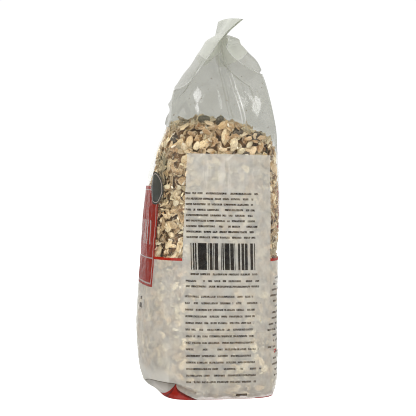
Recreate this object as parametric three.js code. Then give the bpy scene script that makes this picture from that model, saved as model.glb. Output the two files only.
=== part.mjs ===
// A sealed bag of muesli: one closed solid with the outer form of the clear film and what it holds.
// It is a side-gusset bag. The filled body bulges and stands on its folded base. Above the filling the
// loose film forms a gable: two roof panels that rise to the top seal, with a gusset tucked in under
// each end. The seal is a thin flat fin, arched along its length and leaning at one end.
// Millimetres, +Z up. The wide front face looks along -Y, and the gusset sides look along +X and -X.
import * as THREE from "three";

// Driving dimensions.
const BAG_HEIGHT = 233.4; // from the floor to the highest point of the fin
const BELLY_WIDTH = 102; // across X at the widest
const BELLY_DEPTH = 83.5; // across Y at the widest
const SEAL_LENGTH = 102; // the fin, along X
const SEAL_HEIGHT = 9.5; // the fin, from its foot to its top edge
const SEAL_THICKNESS = 1.4; // the pressed layers of film, thickened so that they are a solid
const FRONT_SHOULDER = 181; // height of the crease across the front, where the roof begins
const BACK_SHOULDER = 191; // height of the same crease across the back
const FILL_HEIGHT = 165; // height that the muesli reaches

// The girth of the body, from the floor up to the shoulders: half width across X and half depth
// across Y as shares of the belly's, the shift of its middle along Y in mm, and its squareness
// (2 is an ellipse, and more is boxier).
const GIRTH = [
  { z: 0, width: 0.88, depth: 0.807, shift: 1.6, square: 4.6 },
  { z: 5, width: 0.94, depth: 0.897, shift: -0.3, square: 4.2 },
  { z: 12, width: 0.97, depth: 0.955, shift: -1.2, square: 3.7 },
  { z: 38, width: 1.0, depth: 0.997, shift: -1.8, square: 3.0 },
  { z: 60, width: 0.995, depth: 0.985, shift: -1.2, square: 3.0 },
  { z: 83, width: 0.985, depth: 0.973, shift: -0.3, square: 3.0 },
  { z: 117, width: 0.965, depth: 0.962, shift: 1.7, square: 3.0 },
  { z: 140, width: 0.95, depth: 0.925, shift: 3.2, square: 3.2 },
  { z: 161, width: 0.94, depth: 0.8, shift: 6.9, square: 4.0 },
  { z: 186, width: 0.95, depth: 0.63, shift: 3.6, square: 6.0 },
];
const SHOULDER = (FRONT_SHOULDER + BACK_SHOULDER) / 2;
const BODY_ROWS = [
  0, 1, 2.4, 4.2, 6.2, 8, 9.4, 10.2, 12, 14.5, 18.5, 24, 32, 41, 50, 60, 70, 80, 90, 100, 110, 119, 128, 136, 144,
  151, 158, 165, 172, 179, SHOULDER,
];
const ROOF_ROWS = [0.03, 0.08, 0.15, 0.25, 0.37, 0.5, 0.63, 0.76, 0.88, 1];
const FIN_ROWS = 4;
const AROUND = 112; // points round a row, a multiple of eight so that each corner has one

// How the roof and the fin sit over the body, in mm.
const SEAL_SHIFT = 7.6; // the seal's middle lies this far towards the back
const SEAL_FALL = 11; // how far the seal's +X end is below its -X end
const SEAL_ARCH = 1.3; // how far its middle is above the straight line between them
const TWIST = 0.13; // shear of the upper bag in plan: its +X end lies forward, its -X end back
const TWIST_FROM = 100; // height at which the twist begins
const TWIST_FULL = 160; // height at which it is complete
const FIN_LEAN = 6; // how far the fin's top edge leans back over its foot, at its middle
const FIN_TURN = 4; // how much more it leans at its +X end, and less at its -X end
const FRONT_SAG = 6; // how far the corner creases of the front roof panel bow inwards
const BACK_SAG = 8; // the same on the back
const FRONT_PUFF = 7; // how far the middle of the front roof panel stands out beyond its corners
const BACK_PUFF = 14.6; // the same on the back
const ROOF_DIP = 1.8; // how much flatter both roof panels are half way up
const NECK_FLARE = 1.6; // how much fuller they are just under the seal
const GUSSET_RECESS = 27; // how far the middle crease of a side goes in under the roof
const GUSSET_SKEW = 0.35; // how far that crease lies towards the back, as a share of half the side
const GUSSET_BEND = 0.24; // how much further it bows towards the back half way up
const BASE_ROWS = [0.97, 0.88, 0.72, 0.5, 0.25];

// The pinched fold at the foot of each gusset side, next to the front.
const TUCK_AT = -26; // where across the side the pinch is
const TUCK_HEIGHT = 10.2; // height of the fold's lip at the pinch
const TUCK_REACH = 52; // how far the lip runs from the pinch round into the front face
const TUCK_TAIL = 15; // how far it runs the other way, across the side
const TUCK_DEPTH = 2.2; // how far the film under the lip stands back
const PINCH_DEPTH = 2.6; // how much deeper it goes at the pinch

const clamp = (x) => Math.min(1, Math.max(0, x));
const mix = (a, b, t) => a + (b - a) * t;
const ease = (x) => clamp(x) ** 2 * (3 - 2 * clamp(x));
const signedPower = (x, p) => Math.sign(x) * Math.abs(x) ** p;
const bell = (x, width) => Math.exp(-((x / width) ** 2));

// A value of the girth at height z: a smooth curve through the levels, with the mean slope at each.
function girth(key, z) {
  const last = GIRTH.length - 1;
  let i = 0;
  while (i < last - 1 && z > GIRTH[i + 1].z) i++;
  const slope = (k) => {
    const a = GIRTH[Math.max(0, k - 1)];
    const b = GIRTH[Math.min(last, k + 1)];
    return (b[key] - a[key]) / (b.z - a.z);
  };
  const [a, b] = [GIRTH[i], GIRTH[i + 1]];
  const span = b.z - a.z;
  const t = clamp((z - a.z) / span);
  const rise = b[key] - a[key];
  const bend = (1 - t) * (slope(i) * span - rise) - t * (slope(i + 1) * span - rise);
  return a[key] + t * rise + t * (1 - t) * bend;
}

const twistAt = (z) => TWIST * ease((z - TWIST_FROM) / (TWIST_FULL - TWIST_FROM));

// The seal's foot at a place along X: how high it is.
function sealFoot(x) {
  const along = x / (SEAL_LENGTH / 2);
  return BAG_HEIGHT - SEAL_HEIGHT - (SEAL_FALL / 2) * (1 + along) + SEAL_ARCH * (1 - along ** 2);
}

// Where a point of a row lies on its panel: side is 1 on the +X side and -1 on the -X side, 0 on the
// front and back; across runs from -1 to 1 over the panel.
function place(i) {
  const quarter = AROUND / 4;
  const turned = (i + quarter / 2) % AROUND;
  return { panel: Math.floor(turned / quarter), across: (2 * (turned % quarter)) / quarter - 1 };
}

// A point of the rounded body: a superellipse.
function bodyPoint(i, z) {
  const angle = (2 * Math.PI * i) / AROUND;
  const power = 2 / girth("square", z);
  const x = (BELLY_WIDTH / 2) * girth("width", z) * signedPower(Math.cos(angle), power);
  const y = (BELLY_DEPTH / 2) * girth("depth", z) * signedPower(Math.sin(angle), power);
  return new THREE.Vector3(x, y + girth("shift", z), z);
}

// A point of the folded film above the filling. up is 0 at the shoulders and 1 at the seal's foot. The
// panels run from corner to corner: those of the roof puff out between corner creases that bow in, and
// the gusset sides go in to a middle crease. Under the shoulders up stays 0 and the crease fades out.
function foldedPoint(i, z, up) {
  const { panel, across } = place(i);
  const onSide = panel % 2 === 0;
  const facing = panel < 2 ? 1 : -1;
  const alongX = onSide ? facing : -facing * across;
  const alongY = onSide ? facing * across : facing;
  const halfWidth = mix((BELLY_WIDTH / 2) * girth("width", z), SEAL_LENGTH / 2, up);
  const bow = (1 - up) * (alongY > 0 ? BACK_SAG * 3.72 * up ** 0.9 : FRONT_SAG * (1 - Math.exp(-up / 0.06)));
  const edge = mix((BELLY_DEPTH / 2) * girth("depth", z), SEAL_THICKNESS / 2, up);
  const crown = onSide ? 0 : 1 - Math.abs(across) ** 2.6;
  const start = alongY > 0 ? 0.04 : 0.13;
  const swell = Math.sin(Math.PI * (start + (1 - start) * up)) ** 0.7 * Math.min(1, up / 0.07);
  const dip = ROOF_DIP * bell(up - 0.48, 0.2) - NECK_FLARE * bell(up - 0.88, 0.08);
  const puff = crown * (swell * (alongY > 0 ? BACK_PUFF : FRONT_PUFF) - dip * Math.min(1, up / 0.07));
  const middle = mix(girth("shift", z), SEAL_SHIFT, up);
  const centre = GUSSET_SKEW * (1 - up) + GUSSET_BEND * Math.sin(Math.PI * up);
  const side = facing * across - centre;
  const off = Math.abs(side / (side > 0 ? 1 - centre : 1 + centre));
  const lower = 0.437 * ease((z - FILL_HEIGHT) / (SHOULDER - FILL_HEIGHT));
  const notch = GUSSET_RECESS * (up > 0 ? Math.sin(Math.PI * clamp(0.115 + 0.885 * up)) ** 0.8 : lower);
  const recess = onSide ? notch * (1 - off ** 1.3) : 0;
  const x = alongX * (halfWidth - recess);
  const y = middle + alongY * (Math.max(edge - bow * Math.min(1, edge / 8), SEAL_THICKNESS / 2) + puff);
  const tilt = ((BACK_SHOULDER - FRONT_SHOULDER) / 2) * ease((z - FILL_HEIGHT) / (SHOULDER - FILL_HEIGHT));
  const height = mix(z + alongY * tilt, sealFoot(x), up) + 0.5 * puff * (1 - up);
  return new THREE.Vector3(x, y, height);
}

// The folded foot: a lip runs from the pinch round into the front face, sinking on its way, and the
// film under it stands back. Rows near it are shifted so that one follows the lip.
function tuck(p, level) {
  const beside = p.y - TUCK_AT;
  const away = beside > 0 ? beside / TUCK_TAIL : Math.hypot(beside, Math.abs(p.x) - BELLY_WIDTH * 0.46) / TUCK_REACH;
  const fade = clamp(1 - away ** 2);
  const sink = beside > 0 ? -6 * away : 5 * away - 9.6 * away ** 2;
  const near = level < TUCK_HEIGHT ? level / TUCK_HEIGHT : clamp((26 - level) / (26 - TUCK_HEIGHT));
  const under = level > TUCK_HEIGHT - 0.5 ? 0 : ease(level / 3);
  const pinch = PINCH_DEPTH * bell(beside, 3) * ease(level / 6) * (Math.abs(p.x) > 30 ? 1 : 0);
  const inset = under * (TUCK_DEPTH * fade + pinch);
  const reach = Math.hypot(p.x, p.y);
  p.x *= 1 - inset / reach;
  p.y *= 1 - inset / reach;
  p.z += Math.max(sink, -6) * near * (away < 1.2 ? clamp(6 * (1.2 - away)) : 0);
}

function bodyRow(z) {
  const blend = ease((z - 136) / (SHOULDER - 136));
  const row = [];
  for (let i = 0; i < AROUND; i++) {
    const p = bodyPoint(i, z).lerp(foldedPoint(i, z, 0), blend);
    p.y -= twistAt(z) * p.x;
    if (z < 26) tuck(p, z);
    row.push(p);
  }
  return row;
}

function roofRow(rise) {
  const row = [];
  for (let i = 0; i < AROUND; i++) {
    const p = foldedPoint(i, SHOULDER, rise);
    p.y -= TWIST * p.x;
    row.push(p);
  }
  return row;
}

// A row of the fin: the seal's foot, raised and leaned back. up is 0 at the foot and 1 at the top.
function finRow(foot, up) {
  return foot.map((p) => {
    const lean = FIN_LEAN + (FIN_TURN * p.x) / (SEAL_LENGTH / 2);
    return new THREE.Vector3(p.x, p.y + lean * up ** 1.2, p.z + SEAL_HEIGHT * up);
  });
}

function bagRows() {
  const rows = BASE_ROWS.slice()
    .reverse()
    .map((share) => bodyRow(0).map((p) => new THREE.Vector3(p.x * share, p.y * share, 0)));
  for (const z of BODY_ROWS) rows.push(bodyRow(z));
  for (const up of ROOF_ROWS) rows.push(roofRow(up));
  const foot = rows[rows.length - 1];
  for (let j = 1; j <= FIN_ROWS; j++) rows.push(finRow(foot, j / FIN_ROWS));
  return rows;
}

// Skins the rows with triangles, stands the bag over the origin, closes the base with a fan, and closes
// the top edge with a strip from front to back that ends in a fan at each end.
function skin(rows) {
  const positions = rows.flat().flatMap((p) => [p.x, p.y, p.z]);
  const index = [];
  const at = (j, i) => j * AROUND + ((i + AROUND) % AROUND);
  for (let j = 0; j + 1 < rows.length; j++) {
    for (let i = 0; i < AROUND; i++) {
      index.push(at(j, i), at(j, i + 1), at(j + 1, i + 1));
      index.push(at(j, i), at(j + 1, i + 1), at(j + 1, i));
    }
  }
  const middle = positions.length / 3;
  positions.push(0, 0, 0);
  for (let i = 0; i < AROUND; i++) index.push(middle, at(0, i + 1), at(0, i));
  const top = rows.length - 1;
  const corner = AROUND / 8;
  const half = AROUND / 2;
  for (let i = -corner; i < corner; i++) {
    index.push(at(top, i), at(top, i + 1), at(top, corner + 1));
    index.push(at(top, half + i), at(top, half + i + 1), at(top, half - corner - 1));
  }
  index.push(at(top, -corner), at(top, corner + 1), at(top, -corner - 1));
  index.push(at(top, half + corner), at(top, half + corner + 1), at(top, half - corner - 1));
  for (let i = corner + 1; i < half - corner - 1; i++) {
    index.push(at(top, i), at(top, i + 1), at(top, -i));
    index.push(at(top, i + 1), at(top, -i - 1), at(top, -i));
  }
  const geometry = new THREE.BufferGeometry();
  geometry.setAttribute("position", new THREE.Float32BufferAttribute(positions, 3));
  geometry.setIndex(index);
  geometry.computeBoundingBox();
  const { min, max } = geometry.boundingBox;
  return geometry.translate(-(min.x + max.x) / 2, -(min.y + max.y) / 2, -min.z);
}

const film = new THREE.MeshStandardMaterial({ color: 0xcfc9b8, roughness: 0.25, metalness: 0 });
const bag = new THREE.Mesh(skin(bagRows()), film);
bag.name = "muesli_bag";

const part = new THREE.Group();
part.add(bag);
export default part;
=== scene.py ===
import math

import bpy
import numpy as np
from bpy.props import FloatProperty, FloatVectorProperty, IntProperty, PointerProperty
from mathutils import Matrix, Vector


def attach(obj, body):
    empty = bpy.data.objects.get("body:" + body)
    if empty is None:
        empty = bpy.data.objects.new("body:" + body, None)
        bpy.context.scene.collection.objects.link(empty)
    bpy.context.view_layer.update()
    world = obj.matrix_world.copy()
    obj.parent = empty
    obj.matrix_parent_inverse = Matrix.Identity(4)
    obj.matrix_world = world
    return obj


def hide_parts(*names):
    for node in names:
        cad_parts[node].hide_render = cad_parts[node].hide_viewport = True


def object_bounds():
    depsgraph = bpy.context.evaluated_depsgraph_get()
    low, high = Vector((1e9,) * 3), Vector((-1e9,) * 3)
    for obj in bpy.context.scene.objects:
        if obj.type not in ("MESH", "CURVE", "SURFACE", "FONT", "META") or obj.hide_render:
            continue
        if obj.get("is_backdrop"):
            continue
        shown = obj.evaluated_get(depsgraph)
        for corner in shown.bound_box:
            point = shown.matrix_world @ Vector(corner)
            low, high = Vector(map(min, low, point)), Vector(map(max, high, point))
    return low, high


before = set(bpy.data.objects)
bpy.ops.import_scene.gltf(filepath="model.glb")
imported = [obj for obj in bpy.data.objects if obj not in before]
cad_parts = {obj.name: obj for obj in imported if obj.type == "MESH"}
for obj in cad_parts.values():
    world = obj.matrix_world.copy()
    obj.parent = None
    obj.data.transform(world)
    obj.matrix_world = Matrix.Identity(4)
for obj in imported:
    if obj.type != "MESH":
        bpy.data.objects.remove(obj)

bl_info = {
    "name": "Muesli Bag",
    "version": (1, 0, 0),
    "blender": (4, 5, 0),
    "location": "View3D > Sidebar > Muesli Bag",
    "description": "Clear side-gusset film bag filled with muesli: film, print, flakes, fruit and kernels",
    "category": "Add Mesh",
}

CAD_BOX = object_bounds()
MM = 0.001

# The bag's shape, in mm: mostly the solid's own named sizes.
BAG_HEIGHT, BELLY_WIDTH, BELLY_DEPTH = 233.4, 102.0, 83.5
SEAL_LENGTH, SEAL_HEIGHT, SEAL_THICKNESS = 102.0, 9.5, 1.4
FRONT_SHOULDER, BACK_SHOULDER, FILL_HEIGHT = 181.0, 191.0, 165.0
SHOULDER = (FRONT_SHOULDER + BACK_SHOULDER) / 2
# Levels of the girth: height, width share, depth share, shift along Y, squareness.
GIRTH = np.array([
    (0, 0.88, 0.807, 1.6, 4.6),
    (5, 0.94, 0.897, -0.3, 4.2),
    (12, 0.97, 0.955, -1.2, 3.7),
    (38, 1.0, 0.997, -1.8, 3.0),
    (60, 0.995, 0.985, -1.2, 3.0),
    (83, 0.985, 0.973, -0.3, 3.0),
    (117, 0.965, 0.962, 1.7, 3.0),
    (140, 0.95, 0.925, 3.2, 3.2),
    (161, 0.94, 0.8, 6.9, 4.0),
    (186, 0.95, 0.63, 3.6, 6.0),
])
SEAL_SHIFT, SEAL_FALL, SEAL_ARCH = 7.6, 11.0, 1.3
TWIST, TWIST_FROM, TWIST_FULL = 0.13, 100.0, 160.0
FIN_LEAN, FIN_TURN, FIN_BEND = 6.0, 4.0, 1.2
FRONT_SAG, BACK_SAG, FRONT_PUFF, BACK_PUFF = 6.0, 8.0, 7.0, 14.6
ROOF_DIP, NECK_FLARE = 1.8, 1.6
GUSSET_RECESS, GUSSET_SKEW, GUSSET_BEND = 27.0, 0.35, 0.24
SEAL_RECESS = 36.0  # how far the gusset's middle crease goes in at the seal
TUCK_AT, TUCK_HEIGHT, TUCK_REACH, TUCK_TAIL = -26.0, 10.2, 52.0, 15.0
TUCK_DEPTH, TUCK_OPENS, LIP_EDGE = 2.2, 3.0, 0.5  # its depth, the height it opens over, the lip's edge
LIP_ENDS, LIP_END_RAMP = 1.2, 6.0  # how far from the pinch the lip ends, and how sharply
PINCH_DEPTH, PINCH_WIDTH, PINCH_RAMP, PINCH_FROM = 2.6, 3.0, 6.0, 30.0
LIP_RISE, LIP_FALL, TAIL_FALL = 5.0, 9.6, 6.0  # how the fold's lip rises and falls away from the pinch
TUCK_CORNER, TUCK_FADE = BELLY_WIDTH * 0.46, 26.0  # where the lip's middle is, and where it no longer tells
ROUND_UP_TO = 136.0  # height from which the round body turns into the folded roof

# How the roof's curves run, as powers and shares of its height.
BACK_SAG_RISE, BACK_SAG_POWER, FRONT_SAG_REACH, SAG_FADE = 3.72, 0.9, 0.06, 8.0
CROWN_POWER, SWELL_POWER, ROOF_RAMP = 2.6, 0.7, 0.07
BACK_SWELL_FROM, FRONT_SWELL_FROM = 0.04, 0.13
DIP_AT, DIP_WIDTH, NECK_AT, NECK_WIDTH = 0.48, 0.2, 0.88, 0.08
GUSSET_OPEN, GUSSET_DEEPENS, FOLD_POWER = 0.437, 1.6, 1.3
LAYERS_MEET, MIDDLE_GAP, EDGE_GAP = 0.9, 0.55, 0.3  # the gusset's layers draw together at the seal

# The heap of muesli, in mm: its top, where that is along Y, how it falls off with Y squared, Y to the
# fourth and X squared, the height of its lumps, and its slopes along X and Y.
HEAP_TOP, HEAP_TOP_AT, HEAP_FALL, HEAP_LUMPS = 166.2, -4.0, (0.0088, 1.6e-6, 0.0014), 0.6
HEAP_SLOPES = (0.0028, 0.0184)
HEAP_AXIS, HEAP_HALF = 4.0, (47, 36)  # the bag's middle along Y at the heap, and the heap's half widths
# How far the film stands off the muesli at the front corners, at which height, and at the foot.
CORNER_GAP, CORNER_GAP_AT, CORNER_GAP_TALL, FOOT_GAP = 2.6, 136.0, 9.0, 2.4
CORNER_GAP_FROM, CORNER_GAP_RAMP = 28.0, 7.0  # how far to the front it starts, and its ramp


def ease(x):
    """Smooth step: 0 below 0, 1 above 1, and 3x^2 - 2x^3 between."""
    x = np.clip(x, 0.0, 1.0)
    return x * x * (3 - 2 * x)


def mix(a, b, t):
    """The straight mix of a and b: a at t = 0, b at t = 1."""
    return a + (b - a) * t


def bell(x, width):
    """A bell curve: 1 at x = 0, falling to 0.37 at one width."""
    return np.exp(-((x / width) ** 2))


def crumple(u, v, rng, waves, length, amount):
    """Crossing folds: the sum of triangle waves that run in random directions, so that flat facets
    meet at sharp creases. length is the wave's length and amount its height."""
    total = np.zeros(np.broadcast(u, v).shape)
    for _ in range(waves):
        angle, phase, size = rng.uniform(0, math.pi), rng.random(), length * rng.uniform(0.7, 1.5)
        across = (u * math.cos(angle) + v * math.sin(angle)) / size + phase
        bent = across + 0.25 * np.sin(2.1 * (u * math.sin(angle) - v * math.cos(angle)) / size)
        total += np.abs((bent % 1.0) - 0.5) * 2 - 0.5
    return amount * total / math.sqrt(waves)


def lumps(p, rng, waves, length):
    """Soft lumps: the sum of sine waves in random directions through space, scaled to about -1..1."""
    total = np.zeros(p.shape[:-1])
    for _ in range(waves):
        d = rng.normal(size=3)
        d *= 2 * math.pi / (length * rng.uniform(0.7, 1.4)) / np.linalg.norm(d)
        total += np.sin(p @ d + rng.uniform(0, 2 * math.pi))
    return total / math.sqrt(waves)


# ---------------------------------------------------------------- the bag's surface


def girth(column, z):
    """A column of GIRTH at the heights z: a smooth curve through the levels, which at each level has
    the mean slope between the levels on either side."""
    levels, values = GIRTH[:, 0], GIRTH[:, column]
    last = len(levels) - 1
    below, above = np.maximum(np.arange(last + 1) - 1, 0), np.minimum(np.arange(last + 1) + 1, last)
    slopes = (values[above] - values[below]) / (levels[above] - levels[below])
    i = np.clip(np.searchsorted(levels, z) - 1, 0, last - 1)
    span = levels[i + 1] - levels[i]
    t = np.clip((z - levels[i]) / span, 0, 1)
    rise = values[i + 1] - values[i]
    bend = (1 - t) * (slopes[i] * span - rise) - t * (slopes[i + 1] * span - rise)
    return values[i] + t * rise + t * (1 - t) * bend


def ring_places(count):
    """Where each column lies: its panel (0 is +X, 1 back, 2 -X, 3 front), how far across the panel it
    is from -1 to 1, and the angle of the superellipse that gives evenly spaced points."""
    quarter = count // 4
    turned = (np.arange(count) + quarter // 2) % count
    panel = turned // quarter
    across = 2 * (turned % quarter) / quarter - 1
    angle = panel * math.pi / 2 + np.sign(across) * np.arcsin(math.sqrt(0.5) * np.abs(across) ** 1.5)
    return panel, across, angle


def body_points(z, angle):
    """The rounded body: at each height a superellipse, x = a cos^(2/n), y = b sin^(2/n) + shift."""
    power = 2 / girth(4, z)
    c, s = np.cos(angle), np.sin(angle)
    x = BELLY_WIDTH / 2 * girth(1, z) * np.sign(c) * np.abs(c) ** power
    y = BELLY_DEPTH / 2 * girth(2, z) * np.sign(s) * np.abs(s) ** power + girth(3, z)
    return np.stack([x, y, np.broadcast_to(z, x.shape)], -1)


def seal_foot(x):
    """The height of the seal's foot along X: a straight fall from -X to +X with a slight arch."""
    along = x / (SEAL_LENGTH / 2)
    return BAG_HEIGHT - SEAL_HEIGHT - SEAL_FALL / 2 * (1 + along) + SEAL_ARCH * (1 - along**2)


def gusset_centre(up):
    """Where the gusset's middle crease runs, from -1 at the front corner to 1 at the back one."""
    return GUSSET_SKEW * (1 - up) + GUSSET_BEND * np.sin(math.pi * up)


def folded_points(z, up, panel, across):
    """The film above the filling. up is 0 at the shoulders and 1 at the seal's foot. Panels run from
    corner to corner: the roof's puff out between corner creases that bow in, and the gusset sides go
    in to a middle crease, along (half width - recess (1 - off^k)), where off is 0 at that crease."""
    side = panel % 2 == 0
    facing = np.where(panel < 2, 1.0, -1.0)
    along_x = np.where(side, facing, -facing * across)
    along_y = np.where(side, facing * across, facing)
    at_back = along_y > 0
    half = mix(BELLY_WIDTH / 2 * girth(1, z), SEAL_LENGTH / 2, up)
    back_bow = BACK_SAG * BACK_SAG_RISE * up**BACK_SAG_POWER
    bow = (1 - up) * np.where(at_back, back_bow, FRONT_SAG * (1 - np.exp(-up / FRONT_SAG_REACH)))
    edge = mix(BELLY_DEPTH / 2 * girth(2, z), SEAL_THICKNESS / 2, up)
    crown = np.where(side, 0.0, 1 - np.abs(across) ** CROWN_POWER)
    start = np.where(at_back, BACK_SWELL_FROM, FRONT_SWELL_FROM)
    ramp = np.minimum(1, up / ROOF_RAMP)
    swell = np.abs(np.sin(math.pi * (start + (1 - start) * up))) ** SWELL_POWER * ramp
    dip = (ROOF_DIP * bell(up - DIP_AT, DIP_WIDTH) - NECK_FLARE * bell(up - NECK_AT, NECK_WIDTH)) * ramp
    puff = crown * (swell * np.where(at_back, BACK_PUFF, FRONT_PUFF) - dip)
    middle = mix(girth(3, z), SEAL_SHIFT, up)
    centre = gusset_centre(up)
    off_side = facing * across - centre
    off = np.abs(off_side / np.where(off_side > 0, 1 - centre, 1 + centre))
    above_fill = ease((z - FILL_HEIGHT) / (SHOULDER - FILL_HEIGHT))
    depth = mix(GUSSET_OPEN * GUSSET_RECESS, SEAL_RECESS, up**GUSSET_DEEPENS)
    depth = np.where(up > 0, depth, GUSSET_RECESS * (GUSSET_OPEN * above_fill))
    recess = np.where(side, depth * (1 - off ** mix(FOLD_POWER, 1.0, up)), 0.0)
    x = along_x * (half - recess)
    reach = np.maximum(edge - bow * np.minimum(1, edge / SAG_FADE), SEAL_THICKNESS / 2)
    drawn = ease((up - LAYERS_MEET) / (1 - LAYERS_MEET))
    gap = np.where(side, mix(1.0, MIDDLE_GAP + EDGE_GAP * off, drawn), 1.0)
    y = middle + along_y * (reach * gap + puff)
    lean = (BACK_SHOULDER - FRONT_SHOULDER) / 2 * above_fill
    height = mix(z + along_y * lean, seal_foot(x), up) + 0.5 * puff * (1 - up)
    return np.stack([x, y, height], -1)


def tuck(p, level):
    """The folded foot: under a lip that runs round from the pinch into the front face, the film stands
    back, and rows near the lip shift so that one of them follows it. Away from the pinch the lip rises
    by (rise a - fall a^2) round the front and falls straight across the side."""
    beside = p[..., 1] - TUCK_AT
    round_front = np.hypot(beside, np.abs(p[..., 0]) - TUCK_CORNER) / TUCK_REACH
    away = np.where(beside > 0, beside / TUCK_TAIL, round_front)
    fade = np.clip(1 - away**2, 0, 1)
    sink = np.where(beside > 0, -TAIL_FALL * away, LIP_RISE * away - LIP_FALL * away**2)
    above = np.clip((TUCK_FADE - level) / (TUCK_FADE - TUCK_HEIGHT), 0, 1)
    near = np.where(level < TUCK_HEIGHT, level / TUCK_HEIGHT, above)
    under = np.where(level > TUCK_HEIGHT - LIP_EDGE, 0.0, ease(level / TUCK_OPENS))
    at_side = np.abs(p[..., 0]) > PINCH_FROM
    pinch = PINCH_DEPTH * bell(beside, PINCH_WIDTH) * ease(level / PINCH_RAMP) * at_side
    inset = under * (TUCK_DEPTH * fade + pinch)
    shrink = 1 - inset / np.maximum(np.hypot(p[..., 0], p[..., 1]), 1)
    p[..., 0] *= shrink
    p[..., 1] *= shrink
    ending = np.where(away < LIP_ENDS, np.clip(LIP_END_RAMP * (LIP_ENDS - away), 0, 1), 0)
    p[..., 2] += np.maximum(sink, -TAIL_FALL) * near * ending
    return p


def bag_rows(columns, body_levels, roof_rows, fin_rows):
    """The bag's surface in mm as rows of points, from the floor up: body, roof, fin."""
    panel, across, angle = ring_places(columns)
    z = body_levels[:, None]
    blend = ease((z - ROUND_UP_TO) / (SHOULDER - ROUND_UP_TO))[..., None]
    folded = folded_points(z, np.zeros_like(z), panel, across)
    body = mix(body_points(z, angle), folded, blend)
    body[..., 1] -= TWIST * ease((z - TWIST_FROM) / (TWIST_FULL - TWIST_FROM)) * body[..., 0]
    low = body_levels < TUCK_FADE
    body[low] = tuck(body[low], z[low])
    up = roof_rows[:, None]
    roof = folded_points(np.full_like(up, SHOULDER), up, panel, across)
    roof[..., 1] -= TWIST * roof[..., 0]
    foot = roof[-1:]
    rise = fin_rows[:, None]
    fin = np.repeat(foot, len(fin_rows), 0)
    lean = FIN_LEAN + FIN_TURN * foot[..., 0] / (SEAL_LENGTH / 2)
    fin[..., 1] += lean * rise**FIN_BEND
    fin[..., 2] += SEAL_HEIGHT * rise
    return np.concatenate([body, roof, fin])


# Flat facets that the loose film folds into on the gusset sides. Each group is one plane, with the
# slopes of X along Y and Z, inside diamonds: place along Y and Z, half sizes, and lean along Y.
FACETS = [
    (-0.645, -0.25, [(-14.6, 178.4, 5.4, 8.6, 0.12), (-14.7, 170.4, 3.8, 6.2, 0.0)]),
    (0.37, -0.42, [(20.6, 172.4, 4.9, 12.0, 0.0), (20.3, 177.2, 6.4, 4.6, 0.0),
                   (16.4, 180.0, 3.0, 5.6, -0.6)]),
    (-0.655, -0.262, [(-23.2, 167.2, 5.0, 8.4, 0.25)]),
]
FACET_RIM, FACET_PROUD, FACETS_FROM = 3.6, 0.6, 30.0


def fold_facets(rows):
    """Draws the film on both gusset sides to the facets' planes, inside diamonds |y|/a + |z|/b < 1."""
    y, z, side = rows[..., 1], rows[..., 2], np.sign(rows[..., 0])
    x = np.abs(rows[..., 0])
    for along, rise, diamonds in FACETS:
        inside = np.zeros_like(x)
        for y0, z0, a, b, lean in diamonds:
            apart = np.abs(y - y0 - lean * (z - z0)) / a + np.abs(z - z0) / b
            inside = np.maximum(inside, ease((1 - apart) * FACET_RIM))
        inside = np.where(x > FACETS_FROM, inside, 0.0)
        plane = along * y + rise * z
        level = (inside * (x - plane)).sum() / max(inside.sum(), 1e-9)
        x = mix(x, plane + level + FACET_PROUD, inside)
    rows[..., 0] = x * side
    return rows


def row_normals(rows):
    """Outward normals of a grid of rows that closes round: the cross product of its two slopes."""
    around = np.roll(rows, -1, 1) - np.roll(rows, 1, 1)
    upward = np.gradient(rows, axis=0)
    n = np.cross(around, upward)
    return n / np.maximum(np.linalg.norm(n, axis=-1, keepdims=True), 1e-9)


def fill_top(x, y):
    """The heap's top surface, in mm: a low dome, highest a little in front of the middle, with lumps
    that are products and sums of sine waves."""
    lump = np.sin(x * 0.31 + 1.3) * np.sin(y * 0.27) + np.sin(x * 0.17 - y * 0.23 + 0.6)
    back = y - HEAP_TOP_AT
    along_y, steeper, along_x = HEAP_FALL
    return HEAP_TOP - along_y * back**2 - steeper * back**4 - along_x * x**2 + HEAP_LUMPS * lump


def corner_gap(y, z):
    """How far the film stands off the muesli, in mm, at the front corners under the shoulder."""
    to_front = np.clip((-y - CORNER_GAP_FROM) / CORNER_GAP_RAMP, 0, 1)
    return CORNER_GAP * bell(z - CORNER_GAP_AT, CORNER_GAP_TALL) * to_front


SPACE_TOP, SPACE_TURNS = 185, 360  # the table has one level a millimetre and one direction a degree


def body_rows(columns, levels):
    """Rows of the bag's body alone, without its roof and fin."""
    return bag_rows(columns, levels, np.array([0.05, 1.0]), np.array([1.0]))[: len(levels)]


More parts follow.
